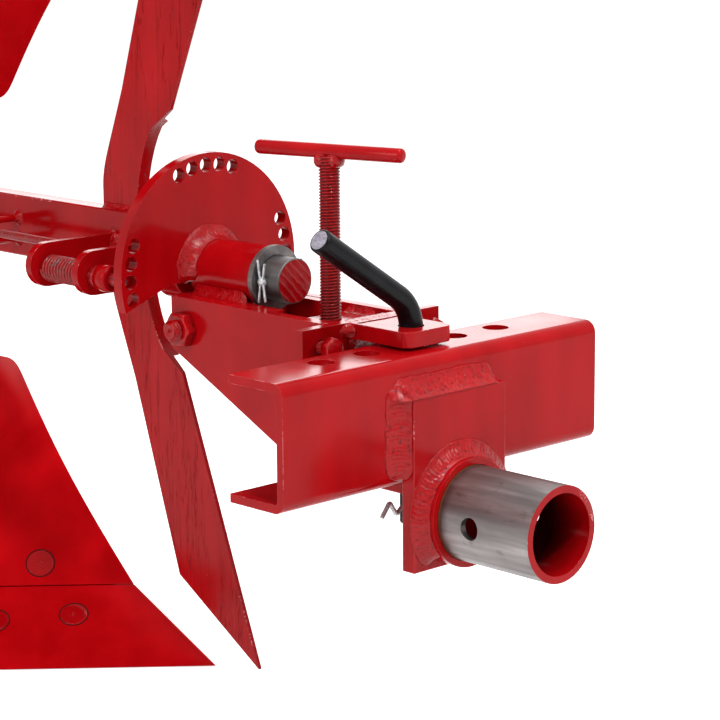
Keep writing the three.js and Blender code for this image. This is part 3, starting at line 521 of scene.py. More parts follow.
# ---------------------------------------------------------------- mesh work
def publish(name, bm, finishes, body, replaced=()):
    """Turns a finished bmesh into a piece that rides on a body."""
    bmesh.ops.recalc_face_normals(bm, faces=bm.faces)
    mesh = bpy.data.meshes.new(name)
    bm.to_mesh(mesh)
    bm.free()
    for key in finishes:
        mesh.materials.append(finish(key))
    mesh.polygons.foreach_set("use_smooth", [True] * len(mesh.polygons))
    made = bpy.data.objects.new(name, mesh)
    bpy.context.scene.collection.objects.link(made)
    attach(made, body)
    if replaced:
        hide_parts(*replaced)
    return made


def softened(node, finishes=("red_enamel", "red_edge"), width=None, segments=2,
             pick=None):
    """A copy of a CAD solid whose sharp edges are rounded over and can wear. pick chooses the
    finish of a face from its middle, its normal and the finish that it has."""
    bm = bmesh.new()
    bm.from_mesh(NODES[node].data)
    bmesh.ops.remove_doubles(bm, verts=bm.verts, dist=1e-6)
    bmesh.ops.dissolve_limit(
        bm, angle_limit=math.radians(1), verts=bm.verts, edges=bm.edges)
    sharp = [e for e in bm.edges if e.is_manifold and e.calc_face_angle() > math.radians(28)]
    bmesh.ops.bevel(
        bm, geom=sharp, offset=width or settings().paint.edge, offset_type="OFFSET",
        segments=segments, profile=0.5, affect="EDGES", clamp_overlap=True,
        material=1 if len(finishes) > 1 else 0)
    if pick:
        for face in bm.faces:
            face.material_index = pick(face.calc_center_median(), face.normal, face.material_index)
    made = publish(f"{node}_worked", bm, finishes, BODY_OF[node], (node,))
    shading = made.modifiers.new("even shading", "WEIGHTED_NORMAL")
    shading.keep_sharp = True
    shading.weight = 80
    return made


def flowing(node, levels=2):
    """A copy of a curved CAD plate, subdivided to a smooth surface that keeps its edges."""
    bm = bmesh.new()
    bm.from_mesh(NODES[node].data)
    bmesh.ops.remove_doubles(bm, verts=bm.verts, dist=1e-6)
    bmesh.ops.join_triangles(
        bm, faces=bm.faces, angle_face_threshold=math.radians(20),
        angle_shape_threshold=math.radians(60))
    crease = bm.edges.layers.float.new("crease_edge")
    for edge in bm.edges:
        if edge.is_manifold and edge.calc_face_angle() > math.radians(35):
            edge[crease] = 1.0
            edge.smooth = False
    # board and share take the lighter, painted-light copy of the red
    made = publish(f"{node}_worked", bm, ("red_board",), BODY_OF[node], (node,))
    smooth = made.modifiers.new("smooth", "SUBSURF")
    smooth.levels = levels
    smooth.render_levels = levels
    return made


def loft(bm, rings, closed=False, material=0):
    """Skins rings of points of equal count; closed joins the last ring to the first."""
    made = [[bm.verts.new(p) for p in ring] for ring in rings]
    pairs = list(zip(made, made[1:])) + ([(made[-1], made[0])] if closed else [])
    for a, b in pairs:
        for i in range(len(a)):
            j = (i + 1) % len(a)
            bm.faces.new((a[i], a[j], b[j], b[i])).material_index = material
    if not closed:
        bm.faces.new(list(reversed(made[0]))).material_index = material
        bm.faces.new(made[-1]).material_index = material
    return made


def round_point(centre, u, v, radius, angle):
    """A point on a round, at an angle from u towards v."""
    return centre + u * (radius * math.cos(angle)) + v * (radius * math.sin(angle))


def circle(centre, u, v, radius, sides):
    """A ring of points; radius is a number, or a function of the angle."""
    points = []
    for i in range(sides):
        angle = math.tau * i / sides
        reach = radius(angle) if callable(radius) else radius
        points.append(round_point(centre, u, v, reach, angle))
    return points


def across(direction):
    """Two directions square to this one and to each other."""
    u = direction.cross(Z if abs(direction.z) < 0.9 else X).normalized()
    return u, direction.cross(u).normalized()


def curved(corners, size, step=1.2 * MM):
    """Straight runs through corners, with each inner corner rounded over its size each way."""
    points = [corners[0].copy()]

    def run_to(end):
        start = points[-1]
        count = max(1, round((end - start).length / (4 * step)))
        points.extend(start.lerp(end, k / count) for k in range(1, count + 1))

    for before, corner, after in zip(corners, corners[1:], corners[2:]):
        inward = corner + (before - corner).normalized() * size
        outward = corner + (after - corner).normalized() * size
        run_to(inward)
        count = max(6, round(2 * size / step))
        for k in range(1, count + 1):
            t = k / count
            points.append(inward.lerp(corner, t).lerp(corner.lerp(outward, t), t))
    run_to(corners[-1])
    return points


def rod(bm, points, radius, sides=24, crown=0.0, material=0, end_material=None):
    """A round rod along points, with its ends rounded over by crown. end_material is the finish
    of the last end."""
    tangents = []
    for i in range(len(points)):
        tangents.append((points[min(i + 1, len(points) - 1)] - points[max(i - 1, 0)]).normalized())
    u, v = across(tangents[0])
    rings = []
    for i, (centre, tangent) in enumerate(zip(points, tangents)):
        if i:
            turn = tangents[i - 1].rotation_difference(tangent)
            u = turn @ u
            v = turn @ v
        rings.append((centre, tangent, u.copy(), v.copy()))
    steps = 4 if crown else 0
    caps = []
    for (centre, tangent, ru, rv), facing in ((rings[0], 1), (rings[-1], -1)):
        angles = [math.pi / 2 * k / steps for k in range(steps)]
        caps.append([circle(
            centre + tangent * (facing * crown * (1 - math.cos(angle))), ru, rv,
            radius - crown * (1 - math.sin(angle)), sides) for angle in angles])
    first, last = rings[0], rings[-1]
    body = [circle(first[0] + first[1] * crown, first[2], first[3], radius, sides)]
    body += [circle(c, ru, rv, radius, sides) for c, _, ru, rv in rings[1:-1]]
    body.append(circle(last[0] - last[1] * crown, last[2], last[3], radius, sides))
    made = loft(bm, caps[0] + body + caps[1][::-1], material=material)
    if end_material is not None:
        for face in made[-1][0].link_faces:
            if len(face.verts) == sides:
                face.material_index = end_material


def lathe(bm, origin, axis, profile, sides, material=0):
    """Turns a closed profile of (distance along, radius) pairs about an axis."""
    u, v = across(axis)
    rings = [circle(origin + axis * along, u, v, radius, sides) for along, radius in profile]
    loft(bm, rings, closed=True, material=material)


def thread(bm, origin, axis, length, radius, pitch, sides, fade):
    """A screw thread with rounded crests, fading out at the ends that ask for it."""
    u, v = across(axis)
    depth = pitch * settings().thread.depth
    per_turn = 7
    count = round(length / pitch * per_turn)
    rings = []
    for k in range(count + 1):
        along = length * k / count
        full = min(along / pitch if fade[0] else 1, (length - along) / pitch if fade[1] else 1, 1)

        def shape(angle, along=along, full=full):
            phase = (along / pitch - angle / math.tau) % 1.0
            tooth = min(1.0, 1.25 * abs(2 * phase - 1))
            return radius - depth * (1 - tooth) * full - depth * 0.5 * (1 - full)

        rings.append(circle(origin + axis * along, u, v, shape, sides))
    loft(bm, rings)


def hexed(bm, origin, axis, width, thick, turn=0.0):
    """A hexagon head or nut with its corners turned off on the outer face."""
    u, v = across(axis)
    half = width / 2
    flat = half * 0.97
    sides = 72

    def outline(limit):
        def shape(angle):
            part = (angle + turn) % (math.pi / 3) - math.pi / 6
            return min(half / math.cos(part), limit)
        return shape

    tall = half / math.cos(math.pi / 6) - flat
    drop = tall / math.tan(math.radians(60))
    rings = [circle(origin, u, v, outline(width), sides)]
    for k in (3, 2, 1, 0):
        rings.append(circle(
            origin + axis * (thick - drop * k / 3), u, v, outline(flat + tall * k / 3), sides))
    rings.append(circle(origin + axis * (thick + 0.15 * MM), u, v, half * 0.86, sides))
    loft(bm, rings)


# ---------------------------------------------------------------- welds
def straight(start, end, a, b):
    """A corner line for a bead: a and b are the directions up the two faces."""
    length = (end - start).length
    return length, lambda t: (start.lerp(end, t), a, b)


def edge_run(x, y, z, a, b, leg_a, leg_b):
    """A straight bead along an edge: one of x, y and z holds both where it starts and ends."""
    start, end = (at(*(c[k] if isinstance(c, tuple) else c for c in (x, y, z))) for k in (0, 1))
    return straight(start, end, a, b), leg_a, leg_b


def round_about(centre, axis, radius, first=0.0, last=360.0):
    """A round corner for a bead, between a face square to the axis and a round of this radius."""
    u, v = across(axis)
    begin = math.radians(first)
    sweep = math.radians(last - first)

    def place(t):
        angle = begin + sweep * t
        radial = u * math.cos(angle) + v * math.sin(angle)
        return centre + radial * radius, radial, axis
    return abs(sweep) * radius, place


def bead(bm, run, leg_a, leg_b, seed=0, closed=False, bulge=0.1, across_steps=10):
    """Lays a rippled bead in a corner, leg_a up the first face and leg_b up the second. Its
    section lies between a hollow one, whose toes reach further, and a full one, by bulge."""
    weld = settings().weld
    length, place = run
    count = max(8, round(length / weld.step))
    rings = []
    for k in range(count if closed else count + 1):
        t = k / count
        along = t * length
        corner, a, b = place(t)
        taper = 1.0
        if not closed:
            gone = min(along, length - along) / (0.9 * max(leg_a, leg_b))
            taper = math.sqrt(max(0.02, 1 - max(0.0, 1 - gone) ** 2))
        here = corner / (7 * MM) + at(seed * 7.3, 0, 0)
        wide_a = leg_a * taper * (1 + weld.wander * noise.noise(here))
        wide_b = leg_b * taper * (1 + weld.wander * noise.noise(here + at(0, 31, 0)))
        out = (a + b).normalized()
        ring = [corner - out * 0.2 * MM]
        jitter = 0.35 * noise.noise(here * 1.7 + at(0, 0, 17))
        for j in range(across_steps + 1):
            s = j / across_steps
            angle = s * math.pi / 2
            flat = a * (1.2 * wide_a * (1 - s) ** 1.5) + b * (1.2 * wide_b * s ** 1.5)
            full = a * (wide_a * math.cos(angle)) + b * (wide_b * math.sin(angle))
            crown = 1 - (2 * s - 1) ** 2
            phase = (along - 0.38 * crown * (leg_a + leg_b) / 2) / weld.ripple + jitter
            hump = abs(math.sin(math.pi * phase)) - 0.5
            lump = noise.noise((corner + full) / (2.1 * MM) + at(0, seed, 0))
            pebble = noise.noise((corner + full) / (4.6 * MM) + at(seed, 0, 5))
            rise = weld.height * (hump + lump + 1.3 * pebble) * crown * taper
            ring.append(corner + flat.lerp(full, bulge) + out * rise)
        rings.append(ring)
    loft(bm, rings, closed=closed)


def beads(name, body, *runs):
    """Several beads as one piece."""
    bm = bmesh.new()
    for seed, (run, leg_a, leg_b, *rest) in enumerate(runs):
        bead(bm, run, leg_a * MM, leg_b * MM, seed + len(name), *rest)
    publish(name, bm, ("red_weld",), body)


def seam(start, end, side, up, lean=0.2):
    """A flat joint to lay a low bead over; side runs along the surface, up away from it."""
    drop = up * -1 * MM
    a = (side + up * lean).normalized()
    b = (-side + up * lean).normalized()
    return straight(start + drop, end + drop, a, b)


def lump(bm, centre, size, seed=0, rings=9, sides=14):
    """A drop of weld metal or paint: size holds its three half lengths."""
    skins = []
    for k in range(rings):
        lift = math.pi * (k + 0.5) / rings
        ring = []
        for point in circle(Vector(), X, Y, math.sin(lift), sides):
            spot = point - Z * math.cos(lift)
            swell = 1 + 0.22 * noise.noise(spot * 1.6 + at(seed * 3.1, 0, 0))
            ring.append(centre + Vector([c * s * swell for c, s in zip(spot, size)]))
        skins.append(ring)
    loft(bm, skins)


def coil(bm, origin, axis, length, radius, wire, turns, sides=10):
    """A compression spring with its two end turns closed up."""
    u, v = across(axis)
    steps = 28
    count = turns * steps
    points = []
    for k in range(count + 1):
        turn = k / steps
        share = min(max((turn - 1) / (turns - 2), 0), 1)
        closed = wire * (min(turn, 1) + max(turn - turns + 1, 0))
        along = wire + closed + (length - 4 * wire) * share
        points.append(round_point(origin + axis * along, u, v, radius, math.tau * turn))
    rod(bm, points, wire / 2, sides)


def surface_at(node, start, direction):
    """The first point of a CAD node met from start, and the face's outward direction there."""
    mesh = NODES[node].data
    tree = BVHTree.FromPolygons([v.co for v in mesh.vertices], [p.vertices for p in mesh.polygons])
    place, normal, _, _ = tree.ray_cast(start, direction)
    if place is None:
        raise RuntimeError(f"nothing of {node} lies that way")
    return place, normal


def flush_bolt(bm, place, out, radius, seed):
    """A countersunk bolt ground flush: a ring groove, and a dimple in its middle."""
    lathe(bm, place, out, [
        (-0.6 * MM, radius), (0.2 * MM, radius), (0.3 * MM, radius - 0.4 * MM),
        (0.32 * MM, radius * 0.45), (0.08 * MM, radius * 0.16), (0.05 * MM, 0.2 * MM),
        (-0.6 * MM, 0.2 * MM)], sides=56)
    rim = radius + 0.35 * MM
    lathe(bm, place, out, [
        (-0.5 * MM, rim + 0.5 * MM), (0.28 * MM, rim + 0.45 * MM), (0.32 * MM, rim),
        (0.26 * MM, rim - 0.32 * MM), (-0.5 * MM, rim - 0.34 * MM)], sides=56, material=1)


def nut_behind(bm, place, out, width=17 * MM, thick=8 * MM, radius=5 * MM, spare=4.5 * MM):
    """A plough bolt's nut, standing on a face, with the bolt's end past it."""
    hexed(bm, place, out, width, thick, math.radians(12))
    thread(bm, place + out * thick, out, spare, radius, settings().thread.small_pitch, 24,
           (False, True))


# ---------------------------------------------------------------- operators
class PLOUGH_OT_hitch(bpy.types.Operator):
    """Build the cross channel, the coupling plate, its tube and collar, and their welds"""

    bl_idname = "plough.hitch"
    bl_label = "Hitch"

    def execute(self, context):
        axis = middle("coupling_tube")
        tube_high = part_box("coupling_tube")[1]
        outer = tube_high.z - axis.z

        def painted(centre, normal, now):
            radial = centre - axis
            radial.x = 0
            at_end = normal.x > 0.3 and centre.x > tube_high.x - 1 * MM
            inside = radial.length < outer - 4 * MM
            return 2 if inside else 1 if at_end else 0

        softened("cross_channel", ("red_enamel", "red_chipped"), width=0.9 * MM)
        softened("coupling_plate", width=0.7 * MM)
        softened("coupling_collar", width=1.8 * MM, segments=4)
        # the bore's faces take the red with painted shade deep inside
        softened("coupling_tube", ("tube_steel", "red_edge", "red_bore"), 0.5 * MM,
                 pick=painted)

        channel_low, channel_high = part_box("cross_channel")
        low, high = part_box("coupling_plate")
        face = channel_high.x
        top_left = at(face, low.y, high.z)
        top_right = at(face, high.y, high.z)
        foot = channel_low.z + 4 * MM
        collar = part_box("coupling_collar")[1]
        beads(
            "coupling_welds", "hitch",
            (straight(top_left - Y * 9 * MM, top_right, Z, X), 11, 9.6),
            (straight(at(face, low.y, foot), top_left + Z * 9 * MM, -Y, X), 12, 8.4),
            (straight(at(face, high.y, foot), top_right, Y, X), 4, 4),
            (round_about(at(high.x, axis.y, axis.z), X, collar.y - axis.y, 131, 409), 9, 6.5),
        )
        return {"FINISHED"}


class PLOUGH_OT_swing_pin(bpy.types.Operator):
    """Build the black cranked pin and its spring clip"""

    bl_idname = "plough.swing_pin"
    bl_label = "Swing pin and clip"

    def execute(self, context):
        sizes = settings().fittings
        low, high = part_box("swing_pin")
        axis = pivot("swing")
        radius = high.x - axis.x
        corner = at(axis.x, axis.y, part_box("top_tongue")[1].z + sizes.pin_neck)
        outwards = -Y * math.cos(sizes.pin_pitch) + Z * math.sin(sizes.pin_pitch)
        reach = (high.z - corner.z - radius * math.cos(sizes.pin_pitch)) / outwards.z
        foot = at(axis.x, axis.y, low.z)
        bm = bmesh.new()
        points = curved([foot, corner, corner + outwards * reach], sizes.pin_bend)
        rod(bm, points, radius, 48, 1.5 * MM, 0, 1)
        publish("swing_pin_forged", bm, ("black_oxide", "sawn_end"), "hitch", ("swing_pin",))

        wave = [(10, 0), (-9, -0.5), (-13.5, -4.5), (-19.5, 4.5), (-26.5, -4.5)]
        hole = middle("pin_clip").z
        bm = bmesh.new()
        points = [at(axis.x, axis.y + y * MM, hole + z * MM) for y, z in wave]
        rod(bm, curved(points, 2 * MM, 0.5 * MM), 1.5 * MM, 16, 0.5 * MM)
        publish("pin_clip_wire", bm, ("zinc_plate",), "hitch", ("pin_clip",))
        return {"FINISHED"}


class PLOUGH_OT_swing_frame(bpy.types.Operator):
    """Build the tongues, the cross plate, the cheeks, the screw block and their bolts and welds"""

    bl_idname = "plough.swing_frame"
    bl_label = "Swing frame"

    def execute(self, context):
        for node in ("top_tongue", "bottom_tongue", "cross_plate", "cheek_right", "cheek_left",
                     "screw_block"):
            softened(node)
        threads = settings().thread
        plate_low, plate_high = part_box("cross_plate")
        for side in ("right", "left"):
            node = f"stop_bolt_{side}"
            low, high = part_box(node)
            centre = middle(node)
            width = high.y - low.y
            thick = width / 2
            radius = width * 0.31
            bm = bmesh.new()
            head = at(high.x - thick, centre.y, centre.z)
            hexed(bm, head, X, width, thick, math.radians(30))
            plate = at(plate_high.x, centre.y, centre.z)
            thread(bm, plate, X, high.x - thick - plate_high.x, radius, threads.small_pitch, 24,
                   (False, False))
            nut = at(plate_low.x - SEAT, centre.y, centre.z)
            hexed(bm, nut, -X, width, thick, math.radians(30))
            thread(bm, nut - X * thick, -X, nut.x - thick - low.x, radius, threads.small_pitch, 24,
                   (False, True))
            publish(f"{node}_threaded", bm, ("red_thread",), "swing_frame", (node,))

        low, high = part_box("pivot_bolt")
        axis = pivot("pitch")
        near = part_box("cheek_right")[0].y - SEAT
        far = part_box("cheek_left")[1].y + SEAT
        width = high.z - low.z
        radius = threads.pivot / 2
        thick = settings().fittings.nut
        bm = bmesh.new()
        face = at(axis.x, near, axis.z)
        rod(bm, [face, at(axis.x, far, axis.z)], radius, 32)
        hexed(bm, face, -Y, width, thick)
        tail = near - thick - low.y
        thread(bm, face - Y * thick, -Y, tail - 1.2 * MM, radius, threads.pitch, 40, (False, False))
        lathe(bm, face - Y * (thick + tail - 1.3 * MM), -Y, [
            (0, radius - 0.6 * MM), (1.1 * MM, radius - 2 * MM), (1.25 * MM, radius - 3 * MM),
            (0.9 * MM, radius - 4 * MM), (1.0 * MM, 0.6 * MM), (0, 0.5 * MM)], sides=40)
        head = at(axis.x, far, axis.z)
        hexed(bm, head, Y, width, high.y - far)
        publish("pivot_bolt_threaded", bm, ("red_thread",), "swing_frame", ("pivot_bolt",))

        front = plate_high.x
        rear = plate_low.x
        top = plate_high.z
        foot = plate_low.z
        runs = []
        for node, inwards in (("top_tongue", -Z), ("bottom_tongue", Z)):
            low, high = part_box(node)
            for y, out in ((low.y, -Y), (high.y, Y)):
                runs.append(edge_run(front, y, (low.z, high.z), out, X, 7, 6))
            z = low.z if inwards.z < 0 else high.z
            runs.append(edge_run(front, (low.y, high.y), z, inwards, X, 6, 6))
        low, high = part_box("top_tongue")
        runs.append((seam(at(front, low.y, top), at(front, high.y, top), X, Z), 6, 6))
        block_low, block_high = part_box("screw_block")
        lip = block_high.z
        for node, out in (("cheek_right", -Y), ("cheek_left", Y)):
            low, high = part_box(node)
            outer, inner = (low.y, high.y) if out.y < 0 else (high.y, low.y)
            runs.append(edge_run(rear, outer, (foot, top), out, -X, 5, 5))
            runs.append(edge_run(rear, inner, (foot, top - 20 * MM), -out, -X, 4, 4))
            runs.append((seam(at(rear, low.y, high.z), at(rear, high.y, high.z), X, Z), 5, 5))
            runs.append(edge_run((block_low.x, block_high.x), inner, lip, Z, -out, 4, 5))
        beads("swing_frame_welds", "swing_frame", *runs)
        return {"FINISHED"}


class PLOUGH_OT_depth_screw(bpy.types.Operator):
    """Build the depth screw with its T-handle"""

    bl_idname = "plough.depth_screw"
    bl_label = "Depth screw"

    def execute(self, context):
        sizes = settings().fittings
        low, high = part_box("depth_screw")
        block = middle("screw_block")
        bar = sizes.bar / 2
        top = at(block.x, block.y, high.z - bar)
        along = X * math.cos(sizes.bar_yaw) + Y * math.sin(sizes.bar_yaw)
        half = ((high.x - low.x) / 2 - bar * math.sin(sizes.bar_yaw)) / along.x
        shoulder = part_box("screw_bridge")[1].z + 1.5 * MM
        neck = shoulder - low.z + 1 * MM

        bm = bmesh.new()
        thread(bm, at(top.x, top.y, shoulder), Z, top.z - bar * 0.6 - shoulder, sizes.screw / 2,
               settings().thread.pitch, 40, (True, False))
        rod(bm, [top - along * half, top - along * half * 0.3, top + along * half * 0.3,
                 top + along * half], bar, 36, bar * 0.55, 1)
        lathe(bm, at(top.x, top.y, low.z), Z, [
            (0, 0.5 * MM), (0, 8 * MM), (1 * MM, 9 * MM), (7 * MM, 9 * MM), (8 * MM, 8 * MM),
            (8 * MM, 5 * MM), (neck, 5 * MM), (neck, 0.5 * MM)], sides=40)
        # the screw's thread takes the red with painted shade in its roots
        publish("depth_screw_threaded", bm, ("red_screw", "red_enamel"), "screw",
                ("depth_screw",))

        bm = bmesh.new()
        for seed, (side, size) in enumerate(((along, (6.2, 6.4, 5.4)), (-along, (6.0, 6.4, 5.8)))):
            lump(bm, top + side * 4.6 * MM - Z * bar * 1.15, [c * MM for c in size], seed)
        lump(bm, top - along.cross(Z) * 2 * MM - Z * bar * 1.5, [6.0 * MM, 6.0 * MM, 6.2 * MM], 5)
        publish("bar_welds", bm, ("red_weld",), "screw")
        return {"FINISHED"}


class PLOUGH_OT_pitch_frame(bpy.types.Operator):
    """Build the pitch arms, the shaft sleeve and the index disc with their welds"""

    bl_idname = "plough.pitch_frame"
    bl_label = "Pitch frame"

    def execute(self, context):
        for node in ("pitch_arm_right", "pitch_arm_left", "screw_bridge", "pivot_bush",
                     "saddle_front", "saddle_rear", "index_disc"):
            softened(node)
        softened("shaft_sleeve", width=1.2 * MM, segments=3)
        axis = pivot("turnover")
        sleeve_low, sleeve_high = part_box("shaft_sleeve")
        radius = sleeve_high.z - axis.z
        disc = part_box("index_disc")[1].x
        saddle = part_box("saddle_front")[1].x
        bridge_low, bridge_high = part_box("screw_bridge")
        level = bridge_low.z
        arm_runs = []
        bridge_runs = []
        for side, out in (("right", -Y), ("left", Y)):
            low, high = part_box(f"pitch_arm_{side}")
            y = high.y if out.y < 0 else low.y
            arm_runs.append(edge_run(
                (sleeve_low.x + 4 * MM, sleeve_high.x - 3 * MM), y, high.z, out, Z, 4.2, 6))
            bridge_runs.append(edge_run((bridge_low.x, bridge_high.x), y, level, -Z, -out, 4, 4))
        runs = [
            (round_about(at(disc, axis.y, axis.z), X, radius, 157, 383), 8, 8),
            *arm_runs,
            (round_about(at(saddle, axis.y, axis.z), X, radius, 50, 130), 5, 4),
            *bridge_runs,
        ]
        beads("pitch_frame_welds", "pitch_frame", *runs)
        return {"FINISHED"}


class PLOUGH_OT_turnover(bpy.types.Operator):
    """Build the turnover shaft, its washer and split pin, the hub and the beam"""

    bl_idname = "plough.turnover"
    bl_label = "Turnover shaft and beam"

    def execute(self, context):
        low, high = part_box("turnover_shaft")
        axis = pivot("turnover")
        radius = high.z - axis.z
        bm = bmesh.new()
        rod(bm, [at(x, axis.y, axis.z) for x in (low.x, high.x - 10 * MM, high.x)],
            radius, 72, 0.9 * MM, 0, 1)
        publish("turnover_shaft_turned", bm, ("shaft_steel", "red_sawn"), "plough_beam",
                ("turnover_shaft",))
        softened("shaft_washer", ("washer_steel",), 0.7 * MM, 3)

        hole = middle("split_pin").x
        wire = 0.85 * MM
        bm = bmesh.new()
        near = axis.y - radius
        far = axis.y + radius
        for shift, reach in ((-1.1, 14), (1.1, 12), (-0.9, -14), (1.3, -13)):
            x = hole + shift * MM
            rod(bm, curved([
                at(x, far + 4 * MM, axis.z), at(x, near - 1.6 * MM, axis.z),
                at(x + shift * 2 * MM, near - 1.9 * MM, axis.z + reach * MM)],
                1.6 * MM, 0.4 * MM), wire, 12, 0.3 * MM)
        lump(bm, at(hole, near - 1.2 * MM, axis.z), [3.2 * MM, 2.4 * MM, 3.2 * MM], 3)
        for side in (1, -1):
            x = hole - side * MM
            rod(bm, curved([
                at(x, far + 1 * MM, axis.z), at(x, far + 4.3 * MM, axis.z + side * 1 * MM),
                at(x, far + 4.5 * MM, axis.z + side * 11 * MM)], 2 * MM, 0.4 * MM),
                wire, 12, 0.3 * MM)
        publish("split_pin_wire", bm, ("zinc_plate",), "plough_beam", ("split_pin",))

        softened("shaft_hub", width=1.5 * MM, segments=3)
        softened("beam", ("red_enamel", "red_edge"), width=1.4 * MM, segments=3)

        beam_low, beam_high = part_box("beam")
        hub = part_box("shaft_hub")[0].x
        sizes = settings().fittings
        runs = []
        for y, out in ((beam_low.y, -Y), (beam_high.y, Y)):
            runs.append(edge_run(hub, y, (axis.z - 13 * MM, axis.z + 20 * MM), out, -X, 6, 5))
        halves = ((UPPER, Z, beam_high.z), (LOWER, -Z, beam_low.z))
        for half, up, z in halves:
            low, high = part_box(f"knife_{half}")
            for y, out in ((low.y, -Y), (high.y, Y)):
                runs.append(edge_run((low.x, low.x + sizes.shank), y, z, out, up, 3.2, 3.5))
        for half, up, z in halves:
            low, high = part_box(f"leg_{half}")
            for y, out in ((low.y, -Y), (high.y, Y)):
                if beam_low.y < y + 1 * MM and y - 1 * MM < beam_high.y:
                    runs.append(edge_run((low.x + 4 * MM, low.x + sizes.leg), y, z, out, up, 6, 6))
        beads("beam_welds", "plough_beam", *runs)
        return {"FINISHED"}


class PLOUGH_OT_latch(bpy.types.Operator):
    """Build the index latch, its ears, spring, pull rod and guide eye"""

    bl_idname = "plough.latch"
    bl_label = "Latch"

    def execute(self, context):
        softened("latch_ear_front", width=0.7 * MM)
        softened("latch_ear_rear", width=0.7 * MM)
        sizes = settings().fittings
        low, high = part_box("latch_pin")
        axis = middle("latch_pin")
        front_low, front_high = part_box("latch_ear_front")
        rear_low, rear_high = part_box("latch_ear_rear")
        outer = (high.z - low.z) / 2
        pin = sizes.latch / 2
        bm = bmesh.new()
        rod(bm, [at(low.x, axis.y, axis.z), at(high.x, axis.y, axis.z)], pin, 28, 1 * MM, 1, 2)
        back = front_high.x + sizes.collar_gap
        lathe(bm, at(back, axis.y, axis.z), X, [
            (0, pin), (0, outer - 1 * MM), (1 * MM, outer), (11 * MM, outer), (12 * MM, outer - 1 * MM),
            (12 * MM, pin)], sides=48)
        lathe(bm, at(front_high.x + 0.6 * MM, axis.y, axis.z), X, [
            (0, pin), (0, outer - 2.4 * MM), (0.8 * MM, outer - 1.6 * MM), (5.4 * MM, outer - 1.6 * MM),
            (6 * MM, outer - 2.4 * MM), (6 * MM, pin)], sides=40, material=1)
        publish("latch_pin_turned", bm, ("red_enamel", "worn_coat", "sawn_end"), "latch_rod",
                ("latch_pin",))

        wire = sizes.spring
        bm = bmesh.new()
        gap = front_low.x - rear_high.x
        coil(bm, at(rear_high.x, axis.y, axis.z), X, gap, 9.2 * MM - wire / 2, wire, 13)
        publish("latch_spring_wire", bm, ("worn_coat",), "plough_beam", ("latch_spring",))

        rod_low, rod_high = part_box("pull_rod")
        eye_low, eye_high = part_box("guide_eye")
        eye = middle("guide_eye")
        radius = sizes.pull / 2
        start = rod_high.x - radius
        y = rod_high.y - radius
        loop = rod_low.x + radius
        end = loop + sizes.loop
        bm = bmesh.new()
        rod(bm, curved([
            at(start, axis.y - 2 * MM, axis.z), at(start, y, eye.z), at(end, y, eye.z),
            at(loop, y, rod_low.z + radius), at(loop, y, rod_high.z - radius),
            at(end - 2 * MM, y, eye.z + 10 * MM)], 8 * MM), radius, 20, 0.8 * MM)
        publish("pull_rod_bent", bm, ("worn_coat",), "latch_rod", ("pull_rod",))

        bar = (eye_high.x - eye_low.x) / 2
        half = (eye_high.z - eye_low.z) / 2 - bar
        bm = bmesh.new()
        rod(bm, curved([
            at(eye.x, eye_high.y, eye.z + half), at(eye.x, eye_low.y + bar, eye.z + half),
            at(eye.x, eye_low.y + bar, eye.z - half), at(eye.x, eye_high.y, eye.z - half)],
            half * 0.9), bar, 20)
        publish("guide_eye_bent", bm, ("red_enamel",), "plough_beam", ("guide_eye",))

        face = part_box("beam")[0].y
        runs = []
        for ear_low, ear_high in ((front_low, front_high), (rear_low, rear_high)):
            bottom = max(ear_low.z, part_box("beam")[0].z)
            top = ear_high.z
            for x, out in ((ear_low.x, -X), (ear_high.x, X)):
                runs.append(edge_run(x, face, (bottom, top), out, -Y, 5, 5))
            runs.append(edge_run((ear_low.x, ear_high.x), face, top, Z, -Y, 4.5, 6))
        for z in (eye.z + half, eye.z - half):
            runs.append((round_about(at(eye.x, face, z), -Y, bar), 3, 3.4, True))
        beads("latch_welds", "plough_beam", *runs)
        return {"FINISHED"}


class PLOUGH_OT_knives(bpy.types.Operator):
    """Build the two knives"""

    bl_idname = "plough.knives"
    bl_label = "Knives"

    def execute(self, context):
        for half in (UPPER, LOWER):
            # the knives take the lighter, painted-light copy of the red
            softened(f"knife_{half}", ("red_ground", "red_edge"), width=0.6 * MM)
        return {"FINISHED"}


BOLTS = (                # of the lower body: node, y and z in millimetres, and whether a nut shows
    ("mouldboard", 7.2, 54.8, True), ("mouldboard", -12, 96, True), ("mouldboard", -52, 70, False),
    ("share", 3.6, 26.4, False), ("share", -40, 24, False))
BOARD = 4.8              # a mouldboard and the gap behind it, in millimetres
FROG = 8.3               # the frog behind it and the gap to its nut, in millimetres


